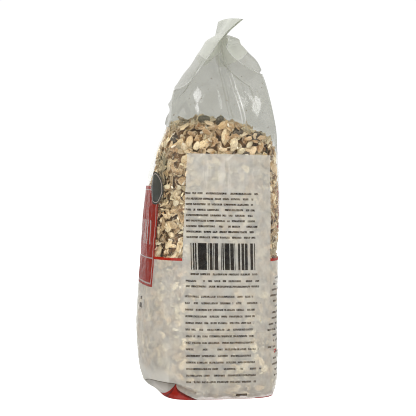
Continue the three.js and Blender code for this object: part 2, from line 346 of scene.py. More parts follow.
class BagSpace:
    """How far out the film is, for every height and direction: a table of radii about the axis that
    follows the girth's shift. It keeps the contents inside."""

    def __init__(self):
        levels = np.linspace(0, SPACE_TOP, SPACE_TOP + 1)
        self.levels, self.shift = levels, girth(3, levels)
        turn = np.linspace(-math.pi, math.pi, SPACE_TURNS + 1)
        self.radii = np.empty((len(levels), SPACE_TURNS + 1))
        for k, row in enumerate(body_rows(SPACE_TURNS, levels)):
            x, y = row[:, 0], row[:, 1] - self.shift[k]
            angle, radius = np.arctan2(y, x), np.hypot(x, y)
            order = np.argsort(angle)
            self.radii[k] = np.interp(turn, angle[order], radius[order], period=2 * math.pi)

    def radius(self, z, angle):
        """The film's radius, mixed from the four nearest entries of the table."""
        row = np.clip(z, 0, SPACE_TOP - 0.001)
        col = (angle + math.pi) / (2 * math.pi) * SPACE_TURNS % SPACE_TURNS
        i, j = row.astype(int), col.astype(int)
        a, b = row - i, col - j
        r = self.radii
        return (r[i, j] * (1 - a) * (1 - b) + r[i + 1, j] * a * (1 - b)
                + r[i, j + 1] * (1 - a) * b + r[i + 1, j + 1] * a * b)

    def press(self, p, margin, stiff=0.0):
        """Moves points that lie beyond the film, less margin, straight in until they touch it. stiff is
        the share of that push that a whole row of points, as one flake, takes up together. The film
        stands off them near the front corners, under the shoulder, and at the tucked foot."""
        shift = np.interp(p[..., 2], self.levels, self.shift)
        x, y = p[..., 0], p[..., 1] - shift
        angle, radius = np.arctan2(y, x), np.hypot(x, y)
        z = p[..., 2]
        at_foot = FOOT_GAP * ease((15 - z) / 6) * ease(-y / 12)
        limit = self.radius(z, angle) - margin - corner_gap(y, z) - at_foot
        over = np.maximum(radius - limit, 0)
        moved = radius - over.max(-1, keepdims=True) * stiff
        k = np.minimum(moved, limit) / np.maximum(radius, 1e-6)
        out = p.copy()
        out[..., 0], out[..., 1] = x * k, y * k + shift
        out[..., 2] = np.maximum(p[..., 2], 0.5)
        return out


def centred(points):
    """Points in metres, in the part's frame: the solid's own shift to its box's middle is repeated."""
    return (points + CENTRE_SHIFT) * MM


def solid_shift():
    """How the solid's points were moved so that its box stands centred over the origin."""
    rows = bag_rows(112, np.linspace(0, SHOULDER, 120), np.linspace(0.1, 1, 10), np.array([0.5, 1.0]))
    low, high = rows.reshape(-1, 3).min(0), rows.reshape(-1, 3).max(0)
    return np.array([-(low[0] + high[0]) / 2, -(low[1] + high[1]) / 2, 0.0])


CENTRE_SHIFT = solid_shift()


# ---------------------------------------------------------------- meshes


def mesh_piece(name, points, faces, smooth=True):
    """A new object at the origin from arrays: points in metres, faces as an array of corners."""
    me = bpy.data.meshes.new(name)
    corners = faces.shape[1]
    me.vertices.add(len(points))
    me.vertices.foreach_set("co", points.astype(np.float32).ravel())
    me.loops.add(faces.size)
    me.loops.foreach_set("vertex_index", faces.astype(np.int32).ravel())
    me.polygons.add(len(faces))
    me.polygons.foreach_set("loop_start", np.arange(0, faces.size, corners, dtype=np.int32))
    me.polygons.foreach_set("loop_total", np.full(len(faces), corners, dtype=np.int32))
    me.polygons.foreach_set("use_smooth", np.full(len(faces), smooth))
    me.update(calc_edges=True)
    me.validate()
    piece = bpy.data.objects.new(name, me)
    bpy.context.scene.collection.objects.link(piece)
    return piece


def store(piece, name, values, kind="FLOAT"):
    """Keeps one value a vertex in the mesh, for the material to read."""
    layer = piece.data.attributes.new(name, kind, "POINT")
    layer.data.foreach_set("color" if kind == "FLOAT_COLOR" else "value", values.astype(np.float32).ravel())


def dress(piece, material):
    """Gives a piece its material. Film and contents together stand for the part's one solid."""
    piece.data.materials.append(material)
    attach(piece, "root")
    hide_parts("muesli_bag")


def grid_faces(rows, columns):
    """Quads of a grid that closes round, with outward faces for rows that go up."""
    j, i = np.meshgrid(np.arange(rows - 1), np.arange(columns), indexing="ij")
    a, b = j * columns + i, j * columns + (i + 1) % columns
    return np.stack([a, b, b + columns, a + columns], -1).reshape(-1, 4)


def as_triangles(quads):
    """Each quad as two triangles."""
    return np.concatenate([quads[:, [0, 1, 2]], quads[:, [0, 2, 3]]])


def fan(columns, pole, first=0, above=False):
    """Triangles between a row, numbered from first, and its pole, which lies below it or above it."""
    k = np.arange(columns)
    row, after = first + k, first + (k + 1) % columns
    return np.stack([0 * k + pole, *((row, after) if above else (after, row))], 1)


# ---------------------------------------------------------------- shader maths


class Value:
    """A shader socket with arithmetic. Each operation on it adds one Math node."""

    def __init__(self, recipe, socket):
        self.recipe, self.socket = recipe, socket

    def math(self, operation, *others):
        values = {k: v for k, v in enumerate((self, *others))}
        return self.recipe.value("ShaderNodeMath", {"operation": operation}, values)

    def __add__(self, other):
        return self.math("ADD", other)

    def __radd__(self, other):
        return self.math("ADD", other)

    def __sub__(self, other):
        return self.math("SUBTRACT", other)

    def __rsub__(self, other):
        return (self * -1) + other

    def __mul__(self, other):
        return self.math("MULTIPLY", other)

    def __rmul__(self, other):
        return self.math("MULTIPLY", other)

    def __truediv__(self, other):
        return self.math("DIVIDE", other)

    def __gt__(self, other):
        return self.math("GREATER_THAN", other)

    def __lt__(self, other):
        return self.math("LESS_THAN", other)

    def __abs__(self):
        return self.math("ABSOLUTE")

    def floor(self):
        return self.math("FLOOR")

    def part(self):
        return self.math("FRACT")

    def power(self, other):
        return self.math("POWER", other)

    def most(self, other):
        return self.math("MAXIMUM", other)

    def least(self, other):
        return self.math("MINIMUM", other)

    def between(self, low, high):
        """1 between two limits, 0 outside them."""
        return (self > low) * (self < high)

    def step(self, start, end):
        """A smooth step from 0 at start to 1 at end."""
        settings = {"interpolation_type": "SMOOTHSTEP", "clamp": True}
        return self.recipe.value("ShaderNodeMapRange", settings, {0: self, 1: start, 2: end, 3: 0.0, 4: 1.0})


class Recipe:
    """One material's node tree."""

    def __init__(self, name):
        self.material = bpy.data.materials.new(name)
        self.material.use_nodes = True
        self.tree = self.material.node_tree
        self.tree.nodes.clear()

    def node(self, kind, settings=None, sockets=None):
        """Adds a node: its settings first, then the values or links of its sockets."""
        made = self.tree.nodes.new(kind)
        for key, setting in (settings or {}).items():
            if key == "stops":
                ramp = made.color_ramp
                while len(ramp.elements) < len(setting):
                    ramp.elements.new(0.5)
                for element, (place, colour) in zip(ramp.elements, setting):
                    element.position, element.color = place, (*colour, 1)
            else:
                setattr(made, key, setting)
        for key, given in (sockets or {}).items():
            socket = given.socket if isinstance(given, Value) else given
            if isinstance(socket, bpy.types.NodeSocket):
                self.tree.links.new(socket, made.inputs[key])
            elif isinstance(given, (tuple, list)) and len(given) == 3 and made.inputs[key].type == "RGBA":
                made.inputs[key].default_value = (*given, 1)
            else:
                made.inputs[key].default_value = given
        return made

    def value(self, kind, settings=None, sockets=None, output=0):
        return Value(self, self.node(kind, settings, sockets).outputs[output])

    def place(self):
        """Object coordinates in mm, as three values."""
        coords = self.node("ShaderNodeTexCoord").outputs["Object"]
        scaled = self.node("ShaderNodeVectorMath", {"operation": "SCALE"}, {0: coords, "Scale": 1000.0})
        parts = self.node("ShaderNodeSeparateXYZ", None, {0: scaled.outputs[0]})
        return scaled.outputs[0], [Value(self, o) for o in parts.outputs]

    def vector(self, x, y, z):
        return self.node("ShaderNodeCombineXYZ", None, {0: x, 1: y, 2: z}).outputs[0]

    def noise(self, vector, scale, detail=2.0, roughness=0.5):
        sockets = {"Vector": vector, "Scale": scale, "Detail": detail, "Roughness": roughness}
        return self.value("ShaderNodeTexNoise", None, sockets)

    def attribute(self, name, output="Fac"):
        made = self.node("ShaderNodeAttribute", {"attribute_name": name})
        return Value(self, made.outputs[output])

    def blend(self, factor, a, b):
        """Mixes two colours."""
        return self.node("ShaderNodeMix", {"data_type": "RGBA"}, {0: factor, 6: a, 7: b}).outputs[2]

    def layered(self, colour, layers):
        """A colour under layers of (mask, colour), from the lowest to the top one."""
        for mask, tone in layers:
            colour = self.blend(mask, colour, tone)
        return colour

    def bump(self, height, distance, strength=1.0):
        """The normal that a height in units of distance gives."""
        return self.node("ShaderNodeBump", None, {
            "Strength": strength, "Distance": distance, "Height": height}).outputs[0]

    def principled(self, colour, roughness, **others):
        """Finishes the material with one Principled shader."""
        sockets = {"Base Color": colour, "Roughness": roughness, **others}
        return self.finish(self.node("ShaderNodeBsdfPrincipled", None, sockets).outputs[0])

    def mix_shader(self, factor, a, b):
        return self.node("ShaderNodeMixShader", None, {0: factor, 1: a, 2: b}).outputs[0]

    def finish(self, shader):
        self.node("ShaderNodeOutputMaterial", None, {0: shader})
        return self.material


def linear(r, g, b):
    """A colour given as 0 to 255 on screen, as the linear numbers that shaders use."""
    c = np.array([r, g, b]) / 255
    return tuple(float(v) for v in np.where(c <= 0.04045, c / 12.92, ((c + 0.055) / 1.055) ** 2.4))


# ---------------------------------------------------------------- what a user would change


class PrintColours(bpy.types.PropertyGroup):
    milky: FloatVectorProperty(name="Milky white", description="Translucent white print on the film",
                               subtype="COLOR", size=3, default=linear(244, 243, 235))
    red: FloatVectorProperty(name="Red", description="Red of the panel, the line and the base",
                             subtype="COLOR", size=3, default=linear(188, 34, 6))
    black: FloatVectorProperty(name="Black", description="Black of the round emblem and the rows",
                               subtype="COLOR", size=3, default=linear(42, 41, 40))
    haze: FloatVectorProperty(name="Haze", description="Grey of the loose film above the muesli",
                              subtype="COLOR", size=3, default=linear(136, 137, 118))


class MuesliMix(bpy.types.PropertyGroup):
    flakes: IntProperty(name="Flakes a layer", description="Spots tried for flakes in each layer",
                        default=5200, min=100, max=8000)
    oat_length: FloatProperty(name="Oat flake", description="Mean length of a large oat flake",
                              unit="LENGTH", default=8.0 * MM, min=4 * MM, max=14 * MM)
    raisins: IntProperty(name="Raisins", description="Raisins behind the film",
                         default=40, min=0, max=200)
    kernels: IntProperty(name="Kernels", description="Sunflower kernels behind the film",
                         default=60, min=0, max=400)
    nuts: IntProperty(name="Nut pieces", description="Pieces of hazelnut behind the film",
                      default=16, min=0, max=200)
    seed: IntProperty(name="Seed", description="Start of the random draws", default=11)


class StudioSizes(bpy.types.PropertyGroup):
    distance: FloatProperty(name="Distance", description="From the camera to the bag's axis", unit="LENGTH",
                            default=0.8, min=0.3, max=3)
    height: FloatProperty(name="Height", description="Height of the camera", unit="LENGTH",
                          default=0.129, min=0, max=2)
    azimuth: FloatProperty(name="Azimuth", description="Direction that the camera looks from, from the front",
                           subtype="ANGLE", default=math.radians(80))
    lens: FloatProperty(name="Lens", description="Focal length in mm on a 36 mm sensor", default=111.6)


# ---------------------------------------------------------------- materials


# Screen colours of the film and its print that the properties don't hold, with those of the
# painted shade, reflections and crease highlights.
TONES = {name: linear(*screen) for name, screen in {
    "cloud": (184, 180, 168), "band": (210, 212, 200), "fold shade": (96, 88, 76),
    "painted_reflection": (252, 250, 242), "panel": (140, 62, 46), "nook shade": (84, 16, 8),
    "emblem": (84, 86, 80), "pale print": (205, 190, 184), "crease": (236, 237, 228),
    "dust": (120, 98, 70)}.items()}

# The print's layout in mm. Its levels are heights that lean a little along Y.
PRINT_LEAN, ROW_LEAN = 0.018, 0.016
SIDE_FROM, FRONT_TO, FRONT_HALF, BACK_FROM, BACK_HALF = 36, -14, 46, 14, 44
FIELD_TOP, LINE_WIDTH, BAND_DEPTH = 81.5, 1.6, 31.5
LABEL_FRONT, LABEL_FRONT_LEAN, LABEL_BACK, LABEL_BACK_LEAN = -27.6, 0.0476, 28.8, 0.011
LABEL_LEVELS = (40, 144.2)
PANEL_HALF, PANEL_HEIGHTS, BORDER_HEIGHTS = 30, (65.5, 125.5), (67.5, 123.5)
BORDER_SIDES, BORDER_ENDS = (27.6, 28.3), 28.2
BORDER_LINES = [(122.9, 123.5), (82.2, 82.9), (67.0, 67.9)]
UPRIGHT_HEIGHTS, UPRIGHT_ENDS, UPRIGHT_PITCH, UPRIGHT_SHARE = (90.5, 105), 25, 6.4, 0.34
EMBLEM_X, EMBLEM_Z, EMBLEM_RADIUS, EMBLEM_RING = 26.5, 124.2, 9.8, (8.3, 8.75)
BLOCK_HALF, BLOCK_HEIGHTS = 14, (98, 126)
BAR_CELL, BARS_WIDE, BARS_TALL = 0.42, (-16.5, 19.6), (76.6, 92.2)
GUARD_BARS = [(-17.6, -17.1), (20.1, 20.6)]
# Rows of dashes: lowest and highest level, pitch, left and right end, start of the draws, strength.
LABEL_ROWS = [
    (94.2, 122.2, 3.2, -19.8, 29.0, 3.0, 1.0),
    (65.6, 72.0, 3.2, -20.8, 31.0, 9.0, 1.0),
    (9.4, 63.3, 3.85, -21.5, 28.0, 5.0, 0.94),
    (72.6, 76.2, 3.5, -18.0, 30.0, 1.0, 1.0),
]
BACK_ROWS = (12, 74, 3.4, -38.0, 48.0, 2.0, 1.0)
DASH_MIDDLE, DASH_HALF, RAGGED_END = 0.42, 0.6, 16


class FilmPlaces:
    """What the print's masks share: the place in mm, the print's level, and which face is meant."""

    def __init__(self, recipe):
        self.recipe = recipe
        self.where, (x, y, z) = recipe.place()
        self.x, self.y, self.z = x - float(CENTRE_SHIFT[0]), y - float(CENTRE_SHIFT[1]), z
        self.level = self.z + self.y * PRINT_LEAN
        self.along = self.y + self.level * ROW_LEAN
        self.across = abs(self.x)
        self.on_side = self.x > SIDE_FROM
        self.front = (self.y < FRONT_TO) * (self.across < FRONT_HALF)
        self.back = (self.y > BACK_FROM) * (self.across < BACK_HALF)
        self.cloud = recipe.noise(self.where, 0.09, 3)
        self.fine = recipe.noise(self.where, 0.9, 3)
        self.wander = recipe.noise(self.where, 0.12, 1)


def length_of(a, b):
    """The length of the arrow (a, b)."""
    return (a * a + b * b).power(0.5)


def inside_any(value, spans):
    """1 where a value lies in one of several spans."""
    masks = [value.between(*span) for span in spans]
    for mask in masks[1:]:
        masks[0] = masks[0].most(mask)
    return masks[0]


def crease_lines(f, slack):
    """Where the creases are, above the muesli: lines along the corner creases, and beside the gusset's
    middle crease. The film there gets a painted highlight, a pale colour that covers more, and a
    rough gloss.
    """
    corner, middle = f.recipe.attribute("corner"), abs(f.recipe.attribute("middle"))
    broken = 0.25 + 0.75 * f.wander.step(0.35, 0.65)
    # Painted highlights: broken pale lines at the corner creases, and a double line beside the middle crease
    # that is stronger on the +X side.
    edge_line = (1 - corner.step(0.2, 1.3)) * f.z.step(170, 184) * broken
    double_line = (1 - abs(middle - 1.0).step(0.1, 0.6)) * slack * (0.3 + 0.35 * (f.x > 0))
    return edge_line.most(double_line)


def label_reflections(f):
    """Painted soft reflections at the label's top, a paler colour that covers more: a U-shaped arc,
    and two upright ovals cut by streaks.
    """
    hang = (f.y + 6 + 3.0 * (f.cloud - 0.5)) / 11
    arc = 1 - abs(f.z - 137.7 - 5.2 * hang * hang).step(0.2, 1.6)
    # A painted reflection: the pale arc.
    painted_arc_reflection = f.on_side * hang.between(-1.05, 1.2) * arc * f.wander.step(0.35, 0.6)

    def soft_spot(y, z, wide, tall):
        """A soft upright oval on the sides: 1 inside, 0 at its rim."""
        u, v = (f.y - y) / wide, (f.z - z) / tall
        return 1 - (u * u + v * v).step(0.15, 1.0)

    r = f.recipe
    upright = r.noise(r.vector(f.x * 0.3, f.y * 0.45, f.z * 0.06), 1.0, 2).step(0.35, 0.6)
    # Painted reflections: the two upright ovals.
    ovals = soft_spot(-9.4, 132.5, 3.0, 12.0).most(soft_spot(1.4, 131.5, 5.6, 13.0))
    return painted_arc_reflection, f.on_side * ovals * upright


def front_print(f):
    """The front: a red panel with a pale border and a row of pale uprights, a dark round emblem with a
    pale ring, and two small dark bars. Gives the panel, the emblem, all that is pale, and the bars."""
    panel = f.front * (f.across < PANEL_HALF) * f.z.between(*PANEL_HEIGHTS)
    sides = f.across.between(*BORDER_SIDES) * f.z.between(*BORDER_HEIGHTS)
    border = f.front * sides.most((f.across < BORDER_ENDS) * inside_any(f.z, BORDER_LINES))
    uprights = f.front * f.z.between(*UPRIGHT_HEIGHTS) * (f.across < UPRIGHT_ENDS)
    uprights = uprights * ((f.x / UPRIGHT_PITCH).part() < UPRIGHT_SHARE)
    far = length_of(f.x - EMBLEM_X, f.z - EMBLEM_Z)
    emblem = f.front * (far < EMBLEM_RADIUS)
    pale = (border + uprights) * (1 - emblem) + f.front * far.between(*EMBLEM_RING)
    bars = (f.x.between(-3, 7) * f.z.between(51, 54)).most(f.x.between(0, 5) * f.z.between(56, 58))
    return panel, emblem, pale.least(1.0), f.front * bars


def foot_nook(f):
    """The red underside that shows in the nook under the pinch, and the shade painted inside it."""
    # Its upper edge falls away behind the pinch, steeply at first and then in a slow curve.
    past_pinch = f.y - TUCK_AT + 0.6
    right_of = past_pinch.most(0.0)
    edge = TUCK_HEIGHT - 3.9 * right_of.power(0.3) - 0.012 * right_of * right_of
    nook = (f.y < -13.5) * (f.across > 20) * (f.z < (TUCK_HEIGHT + past_pinch * 1.35)) * (f.z < edge)
    # Painted shade: a dark streak down from the pinch, and a dark band just under the nook's edge behind it.
    ridge = 1 - abs(past_pinch + 0.2 - (f.z - 10) * 0.45).step(0.1, 0.8)
    return nook, ridge.most((right_of > 0.2) * (f.z - edge).step(-2.2, -0.6)) * 0.8


def foot_folds(f):
    """The folded foot outside the nook: painted shade under the lip and beside the pinch, a painted
    highlight on the fold across the side, and where the film lies double."""
    beside = f.y - TUCK_AT
    # The lip's own height here, as in tuck, and how far above it a point is.
    aside = length_of(beside, f.across - 47) / TUCK_REACH
    lip = f.z - (TUCK_HEIGHT - 0.6 + LIP_RISE * aside - LIP_FALL * aside * aside)
    under_lip = (f.y < TUCK_AT) * (aside < 0.9)
    # Painted shade under the lip, darkest along its fold line.
    shade = under_lip * lip.step(-5.5, -0.1) * (lip < 0) * 0.5 + under_lip * lip.between(-0.35, 0.15) * 0.8
    # A second fold leaves the pinch and falls slowly across the side.
    level = f.z - 8.6 + beside * 0.34
    beside_pinch = f.on_side * (f.y > TUCK_AT) * (f.y < -15.5)
    # Painted shade along and just under the second fold, beside the pinch.
    shade = shade.most(beside_pinch * (1 - level.step(0.1, 0.7)) * level.step(-2.4, -0.1) * 0.5)
    across_side = f.on_side * beside.step(6, 8) * (1 - beside.step(13, 15))
    # A painted highlight just above the second fold, further along the side.
    painted_highlight = across_side * level.step(0.3, 0.9) * (1 - level.step(4.0, 6.0))
    double = (f.y < FRONT_TO) * (1 - f.z.step(13, 28)) * (1 - beside.step(-6.0, -2.0))
    return shade.least(1.0), painted_highlight, double


def dashes(f, across, up, row):
    """Rows of dashes: bands up the height, cut into runs of random length. row is as in LABEL_ROWS."""
    r = f.recipe
    low, high, pitch, left, right, draw, strength = row
    line_at = (up - low) / pitch
    number = line_at.floor()
    in_band = abs(line_at.part() - DASH_MIDDLE) < (DASH_HALF / pitch)
    spot = r.vector(across * 0.42, number * 7.31 + draw, 0.0)
    dash = (r.noise(spot, 1.0, 0) > 0.39).most(across < left + 2.5)
    grain = r.noise(r.vector(across * 2.6, line_at * 3.0, draw), 1.0, 1).step(0.32, 0.55)
    end = right - r.noise(r.vector(number * 3.7, draw, 0.0), 1.0, 0) * RAGGED_END
    in_row = up.between(low, high) * (across > left) * (across < end)
    return in_band * dash * (0.35 + 0.65 * grain) * in_row * strength


def bar_pattern(f):
    """Upright bars of random cells, thin ones and runs of three, between two guard bars."""
    cell = (f.along / BAR_CELL).floor()
    thin, wide = (f.recipe.value("ShaderNodeTexWhiteNoise", {"noise_dimensions": "1D"}, {"W": number})
                  for number in (cell, (cell / 3).floor() + 40.0))
    bars = (thin > 0.42).most(wide > 0.54) * f.along.between(*BARS_WIDE)
    return bars.most(inside_any(f.along, GUARD_BARS)) * f.level.between(*BARS_TALL) * f.on_side


def film_material(colours):
    """Clear glossy film with its print. The film is see-through; the print, the haze of the loose film
    and the dust on it are mixed in by masks on Object coordinates and the film's own distances, as are
    painted shade at the folded foot, painted reflections at the label and painted crease highlights."""
    r = Recipe("clear_printed_film")
    f = FilmPlaces(r)
    slack = r.attribute("slack")
    patch = r.noise(f.where, 0.17, 2).step(0.3, 0.7)

    # The milky print: the lower field all round, the label on the +X side, the band at the top.
    label = (f.y > LABEL_FRONT + f.z * LABEL_FRONT_LEAN) * (f.y < LABEL_BACK + f.z * LABEL_BACK_LEAN)
    label = label * f.level.between(*LABEL_LEVELS) * f.on_side
    field = (f.level < FIELD_TOP).most(label)
    band = r.attribute("from_top") < BAND_DEPTH
    milky = field.most(band)
    # Painted highlights along the creases.
    creases = crease_lines(f, slack)
    # Painted reflections at the label's top.
    painted_arc_reflection, painted_oval_reflections = label_reflections(f)

    # The coloured print: front, back and base, with painted shade and a painted highlight at the
    # folded foot.
    panel, emblem, pale, front_bars = front_print(f)
    nook, nook_shade = foot_nook(f)
    shade, painted_fold_highlight, double_fold = foot_folds(f)
    line = f.level.between(FIELD_TOP, FIELD_TOP + LINE_WIDTH) * (1 - label)
    block = f.back * (f.across < BLOCK_HALF) * f.z.between(*BLOCK_HEIGHTS)
    back_mark = f.back * f.across.between(33.5, 38.5) * f.z.between(25.8, 28.2) * (f.fine > 0.46)
    base = f.z < (0.15 + 0.45 * (f.y > 20))
    red_print = (line + panel + block + back_mark + base + nook).least(1.0)
    bars = bar_pattern(f)
    label_rows = sum(dashes(f, f.along, f.level, row) for row in LABEL_ROWS) * f.on_side
    side_bar = f.on_side * f.y.between(8.3, 14.8) * f.z.between(2.0, 3.5)
    ink = label_rows + bars + dashes(f, f.x, f.level, BACK_ROWS) * f.back + side_bar.most(front_bars)
    ink = ink.least(1.0)
    dust = (r.noise(f.where, 0.75, 0) > 0.80) * slack * f.on_side

    colour = r.layered(colours.haze[:], (
        (milky, colours.milky[:]),
        (f.cloud * 0.16 * milky, TONES["cloud"]),
        (band, TONES["band"]),
        # Painted shade at the folded foot.
        (shade, TONES["fold shade"]),
        # Painted reflections on the label, and a painted highlight on the foot's fold.
        ((painted_arc_reflection * 0.7).most(painted_oval_reflections * 0.8).most(painted_fold_highlight * 0.5), TONES["painted_reflection"]),
        (red_print, colours.red[:]),
        (panel * 0.4, TONES["panel"]),
        # Painted shade in the nook.
        (nook * nook_shade, TONES["nook shade"]),
        (emblem, TONES["emblem"]),
        (pale, TONES["pale print"]),
        (ink, colours.black[:]),
        # Painted highlights along the creases.
        (creases * 0.8 * (1 - milky), TONES["crease"]),
        (dust * 0.6, TONES["dust"]),
    ))

    # How much each part covers what lies behind: 1 hides it.
    # The painted crease highlights cover more too.
    cover = slack * (0.34 + 0.12 * f.cloud) + 0.03 + creases * 0.45
    for mask in (field * (0.54 + 0.18 * patch + 0.1 * label), band * (0.68 + 0.06 * f.fine),
                 red_print * 0.98, emblem * 0.98, ink * 0.8, bars * 0.9, pale * 0.85, double_fold * 0.9):
        cover = cover.most(mask)
    # Dust, and the painted reflections, cover a little more of what lies behind.
    cover = (cover + dust * 0.3 + painted_arc_reflection * 0.14 + painted_oval_reflections * 0.15).least(1.0)

    # Tight film lies over the flakes in low bumps; loose film has faint upright streaks.
    streak = r.noise(r.vector(f.x * 0.5, f.y * 0.5, f.z * 0.05), 1.0, 2)
    tight = 1 - slack
    height = (0.01 + 0.21 * tight) * r.noise(f.where, 0.16, 2) + slack * 0.01 * streak
    normal = r.bump(height + tight * 0.4 * r.noise(f.where, 0.24, 2), MM)
    lit, glowing = (r.node(kind, None, {"Color": colour, "Normal": normal}).outputs[0]
                    for kind in ("ShaderNodeBsdfDiffuse", "ShaderNodeBsdfTranslucent"))
    clear = r.node("ShaderNodeBsdfTransparent", None, {"Color": (0.99, 0.99, 0.975)}).outputs[0]
    skin = r.mix_shader(cover, clear, r.mix_shader(0.4, lit, glowing))
    facing = r.value("ShaderNodeLayerWeight", None, {"Blend": 0.5, "Normal": normal}, output=1)
    gloss = r.node("ShaderNodeBsdfGlossy", None, {"Color": (1, 1, 1), "Roughness": 0.2, "Normal": normal})
    folded = r.node("ShaderNodeBsdfGlossy", None, {"Color": (1, 1, 1), "Roughness": 0.55})
    film = r.mix_shader(0.022 + 0.2 * facing.power(4.0), skin, gloss.outputs[0])
    return r.finish(r.mix_shader(creases * 0.4, film, folded.outputs[0]))


def flake_material(name, roughness):
    """Dry grain flakes: each has its own colour, a pale floury bloom, brown bran flecks, a darker line
    along the middle and a pale rim with a thin golden edge. The pale rim is partly the lighter thin edge
    of a flake and partly a painted highlight where the rim catches light."""
    r = Recipe(name)
    where, _ = r.place()
    tint, rim, seam = r.attribute("tint", "Color"), r.attribute("rim"), abs(r.attribute("seam"))
    flour = r.noise(where, 0.35, 3).step(0.46, 0.66)
    bran = r.noise(where, 0.9, 2).step(0.56, 0.66)
    colour = r.layered(tint.socket, (
        (flour * 0.34, linear(236, 224, 196)),
        (bran * 0.34, linear(122, 84, 50)),
        ((1 - seam.step(0.03, 0.14)) * 0.22, linear(110, 76, 46)),
        # The pale rim: lighter thin edges, and a painted highlight.
        (rim.step(0.74, 0.95) * 0.4, linear(240, 222, 184)),
        (rim.step(0.95, 1.0) * 0.45, linear(168, 122, 66)),
    ))
    normal = r.bump(r.noise(where, 0.8, 3), MM / 2, 0.4)
    return r.principled(colour, roughness, **{"Specular IOR Level": 0.35, "Normal": normal})


def raisin_material():
    """Raisin skin: very dark brown with a dusty grey bloom that stays off the wrinkles' valleys."""
    r = Recipe("raisin_skin")
    where, _ = r.place()
    ridge = r.attribute("ridge")
    bloom = r.noise(where, 0.5, 3).step(0.42, 0.7) * ridge
    valley, crest, dusty = linear(40, 32, 24), linear(96, 82, 64), linear(158, 146, 124)
    return r.principled(r.layered(valley, ((ridge, crest), (bloom * 0.5, dusty))), 0.42)


def kernel_material(name, pale, dark, amount):
    """Shelled kernels and nuts: each has its own colour, with faint darker stains and pale flecks."""
    r = Recipe(name)
    where, _ = r.place()
    stain, fleck = r.noise(where, 0.6, 3).step(0.45, 0.7), r.noise(where, 1.6, 2).step(0.5, 0.8)
    tint = r.attribute("tint", "Color")
    return r.principled(r.layered(tint.socket, ((stain * amount, dark), (fleck * 0.3, pale))), 0.5)


def core_material():
    """What shows between the flakes: the deeper filling, coloured as painted shade, a dark brown with
    lighter patches and darker cells.
    """
    r = Recipe("painted_shade_fill")
    where, _ = r.place()
    cells = r.value("ShaderNodeTexVoronoi", None, {"Vector": where, "Scale": 0.22})
    colour = r.layered(linear(112, 84, 54), (
        (r.noise(where, 0.3, 3), linear(168, 134, 92)), (cells.step(0.35, 0.8) * 0.6, linear(66, 46, 30))))
    return r.principled(colour, 0.85)


# ---------------------------------------------------------------- scattered things

# Fruit and kernels that lie against the film on the label's side: X, Y, Z, moved in until they touch it.
SHOWN = {
    "raisin": [(56, -40, 153), (50, -12.6, 164.5), (50, -2.3, 164), (56, 10.5, 157)],
    "kernel": [(56, 13, 146), (56, 19.5, 150), (56, -3, 130)],
    "nut": [(56, -19.5, 149), (56, 22, 122), (56, -36, 120)],
}

SHOWN_MARGIN, SHOWN_CLEAR = 1.5, 3.6  # how far in they lie, and how far the outer flakes keep off them

# Screen colours of the flakes, kernels and nuts, with how common each is.
GRAIN_COLOURS = {
    "oat": [((222, 198, 156), 4), ((204, 176, 134), 4), ((178, 148, 108), 3), ((240, 224, 190), 3),
            ((162, 146, 114), 2), ((206, 172, 124), 1), ((140, 110, 76), 1)],
    "wheat": [((206, 174, 134), 3), ((180, 146, 106), 3), ((228, 202, 164), 2), ((150, 114, 78), 2),
              ((240, 218, 180), 3), ((168, 152, 120), 2)],
    "crumb": [((234, 220, 182), 4), ((178, 142, 98), 3), ((126, 90, 56), 2), ((250, 240, 218), 3)],
    "kernel": [((206, 192, 160), 3), ((188, 172, 138), 2), ((222, 208, 172), 2)],
    "nut": [((230, 212, 176), 3), ((214, 188, 146), 2), ((122, 78, 46), 1)],
}
BRIGHTNESS = (0.78, 1.38)

# Layers of flakes and of crumbs: gap between neighbours, tilt, depth behind the film, and shade, a
# painted shade that darkens the tints of a deeper layer.
FLAKE_LAYERS = [(4.4, 0.34, 0.25, 1.0), (4.2, 0.42, 1.2, 1.0), (4.1, 0.5, 2.3, 0.9)]
CRUMB_LAYERS = [(3.2, 0.7, 0.3, 1.0), (3.0, 0.6, 1.4, 0.95)]
OAT_SHARE, HEAP_SHARE, HEAP_MARGIN = 0.5, 6, 1.0

# Kinds of flake: piece, colours, length as a share of an oat flake's and in mm besides, width as a
# share of the length, thickness, points round the rim, curl, roughness, whether it is shaded smooth.
FLAKES = [
    ("oat_flakes", "oat", 1.0, 0.0, 0.6, 0.42, 12, 0.2, 0.62, True),
    ("wheat_flakes", "wheat", 0.9, 0.0, 0.5, 0.45, 10, 0.24, 0.55, True),
    ("grain_crumbs", "crumb", 0.0, 3.6, 0.4, 0.5, 6, 0.16, 0.62, False),
]
# A flake's shape: its inner ring's radius, its lobes as waves round it with their heights, how far its
# rim's points are chipped, how sharply it folds, and how much thinner it is at the rim.
INNER_RING, LOBES, CHIPS = 0.84, ((2, 0.06), (3, 0.05), (5, 0.03)), (-0.24, 0.08)
SEAM_FOLD, RIM_THIN = 1.8, 0.25
# How sizes vary about the mean: spread and limits of the length, and ranges of width and thickness.
SIZE_SPREAD, SIZE_LIMITS, WIDTH_RANGE, THICK_RANGE = 0.18, (0.6, 1.5), (0.8, 1.2), (0.75, 1.3)
MARGIN_MORE = 0.3

# Rounded things: piece, kind, depth behind the film, least and most size, rings and points round,
# distance kept from the film.
ROUND_THINGS = [
    ("raisins", "raisin", 2.6, (6.5, 4.0, 3.0), (9.5, 5.6, 4.2), (16, 24), 1.1),
    ("sunflower_kernels", "kernel", 1.4, (6.2, 3.4, 2.0), (8.0, 4.4, 2.6), (7, 12), 0.5),
    ("hazelnut_pieces", "nut", 2.0, (5, 4.5, 4), (8, 7, 5.5), (8, 12), 0.6),
]
ROUND_TILT = 0.25

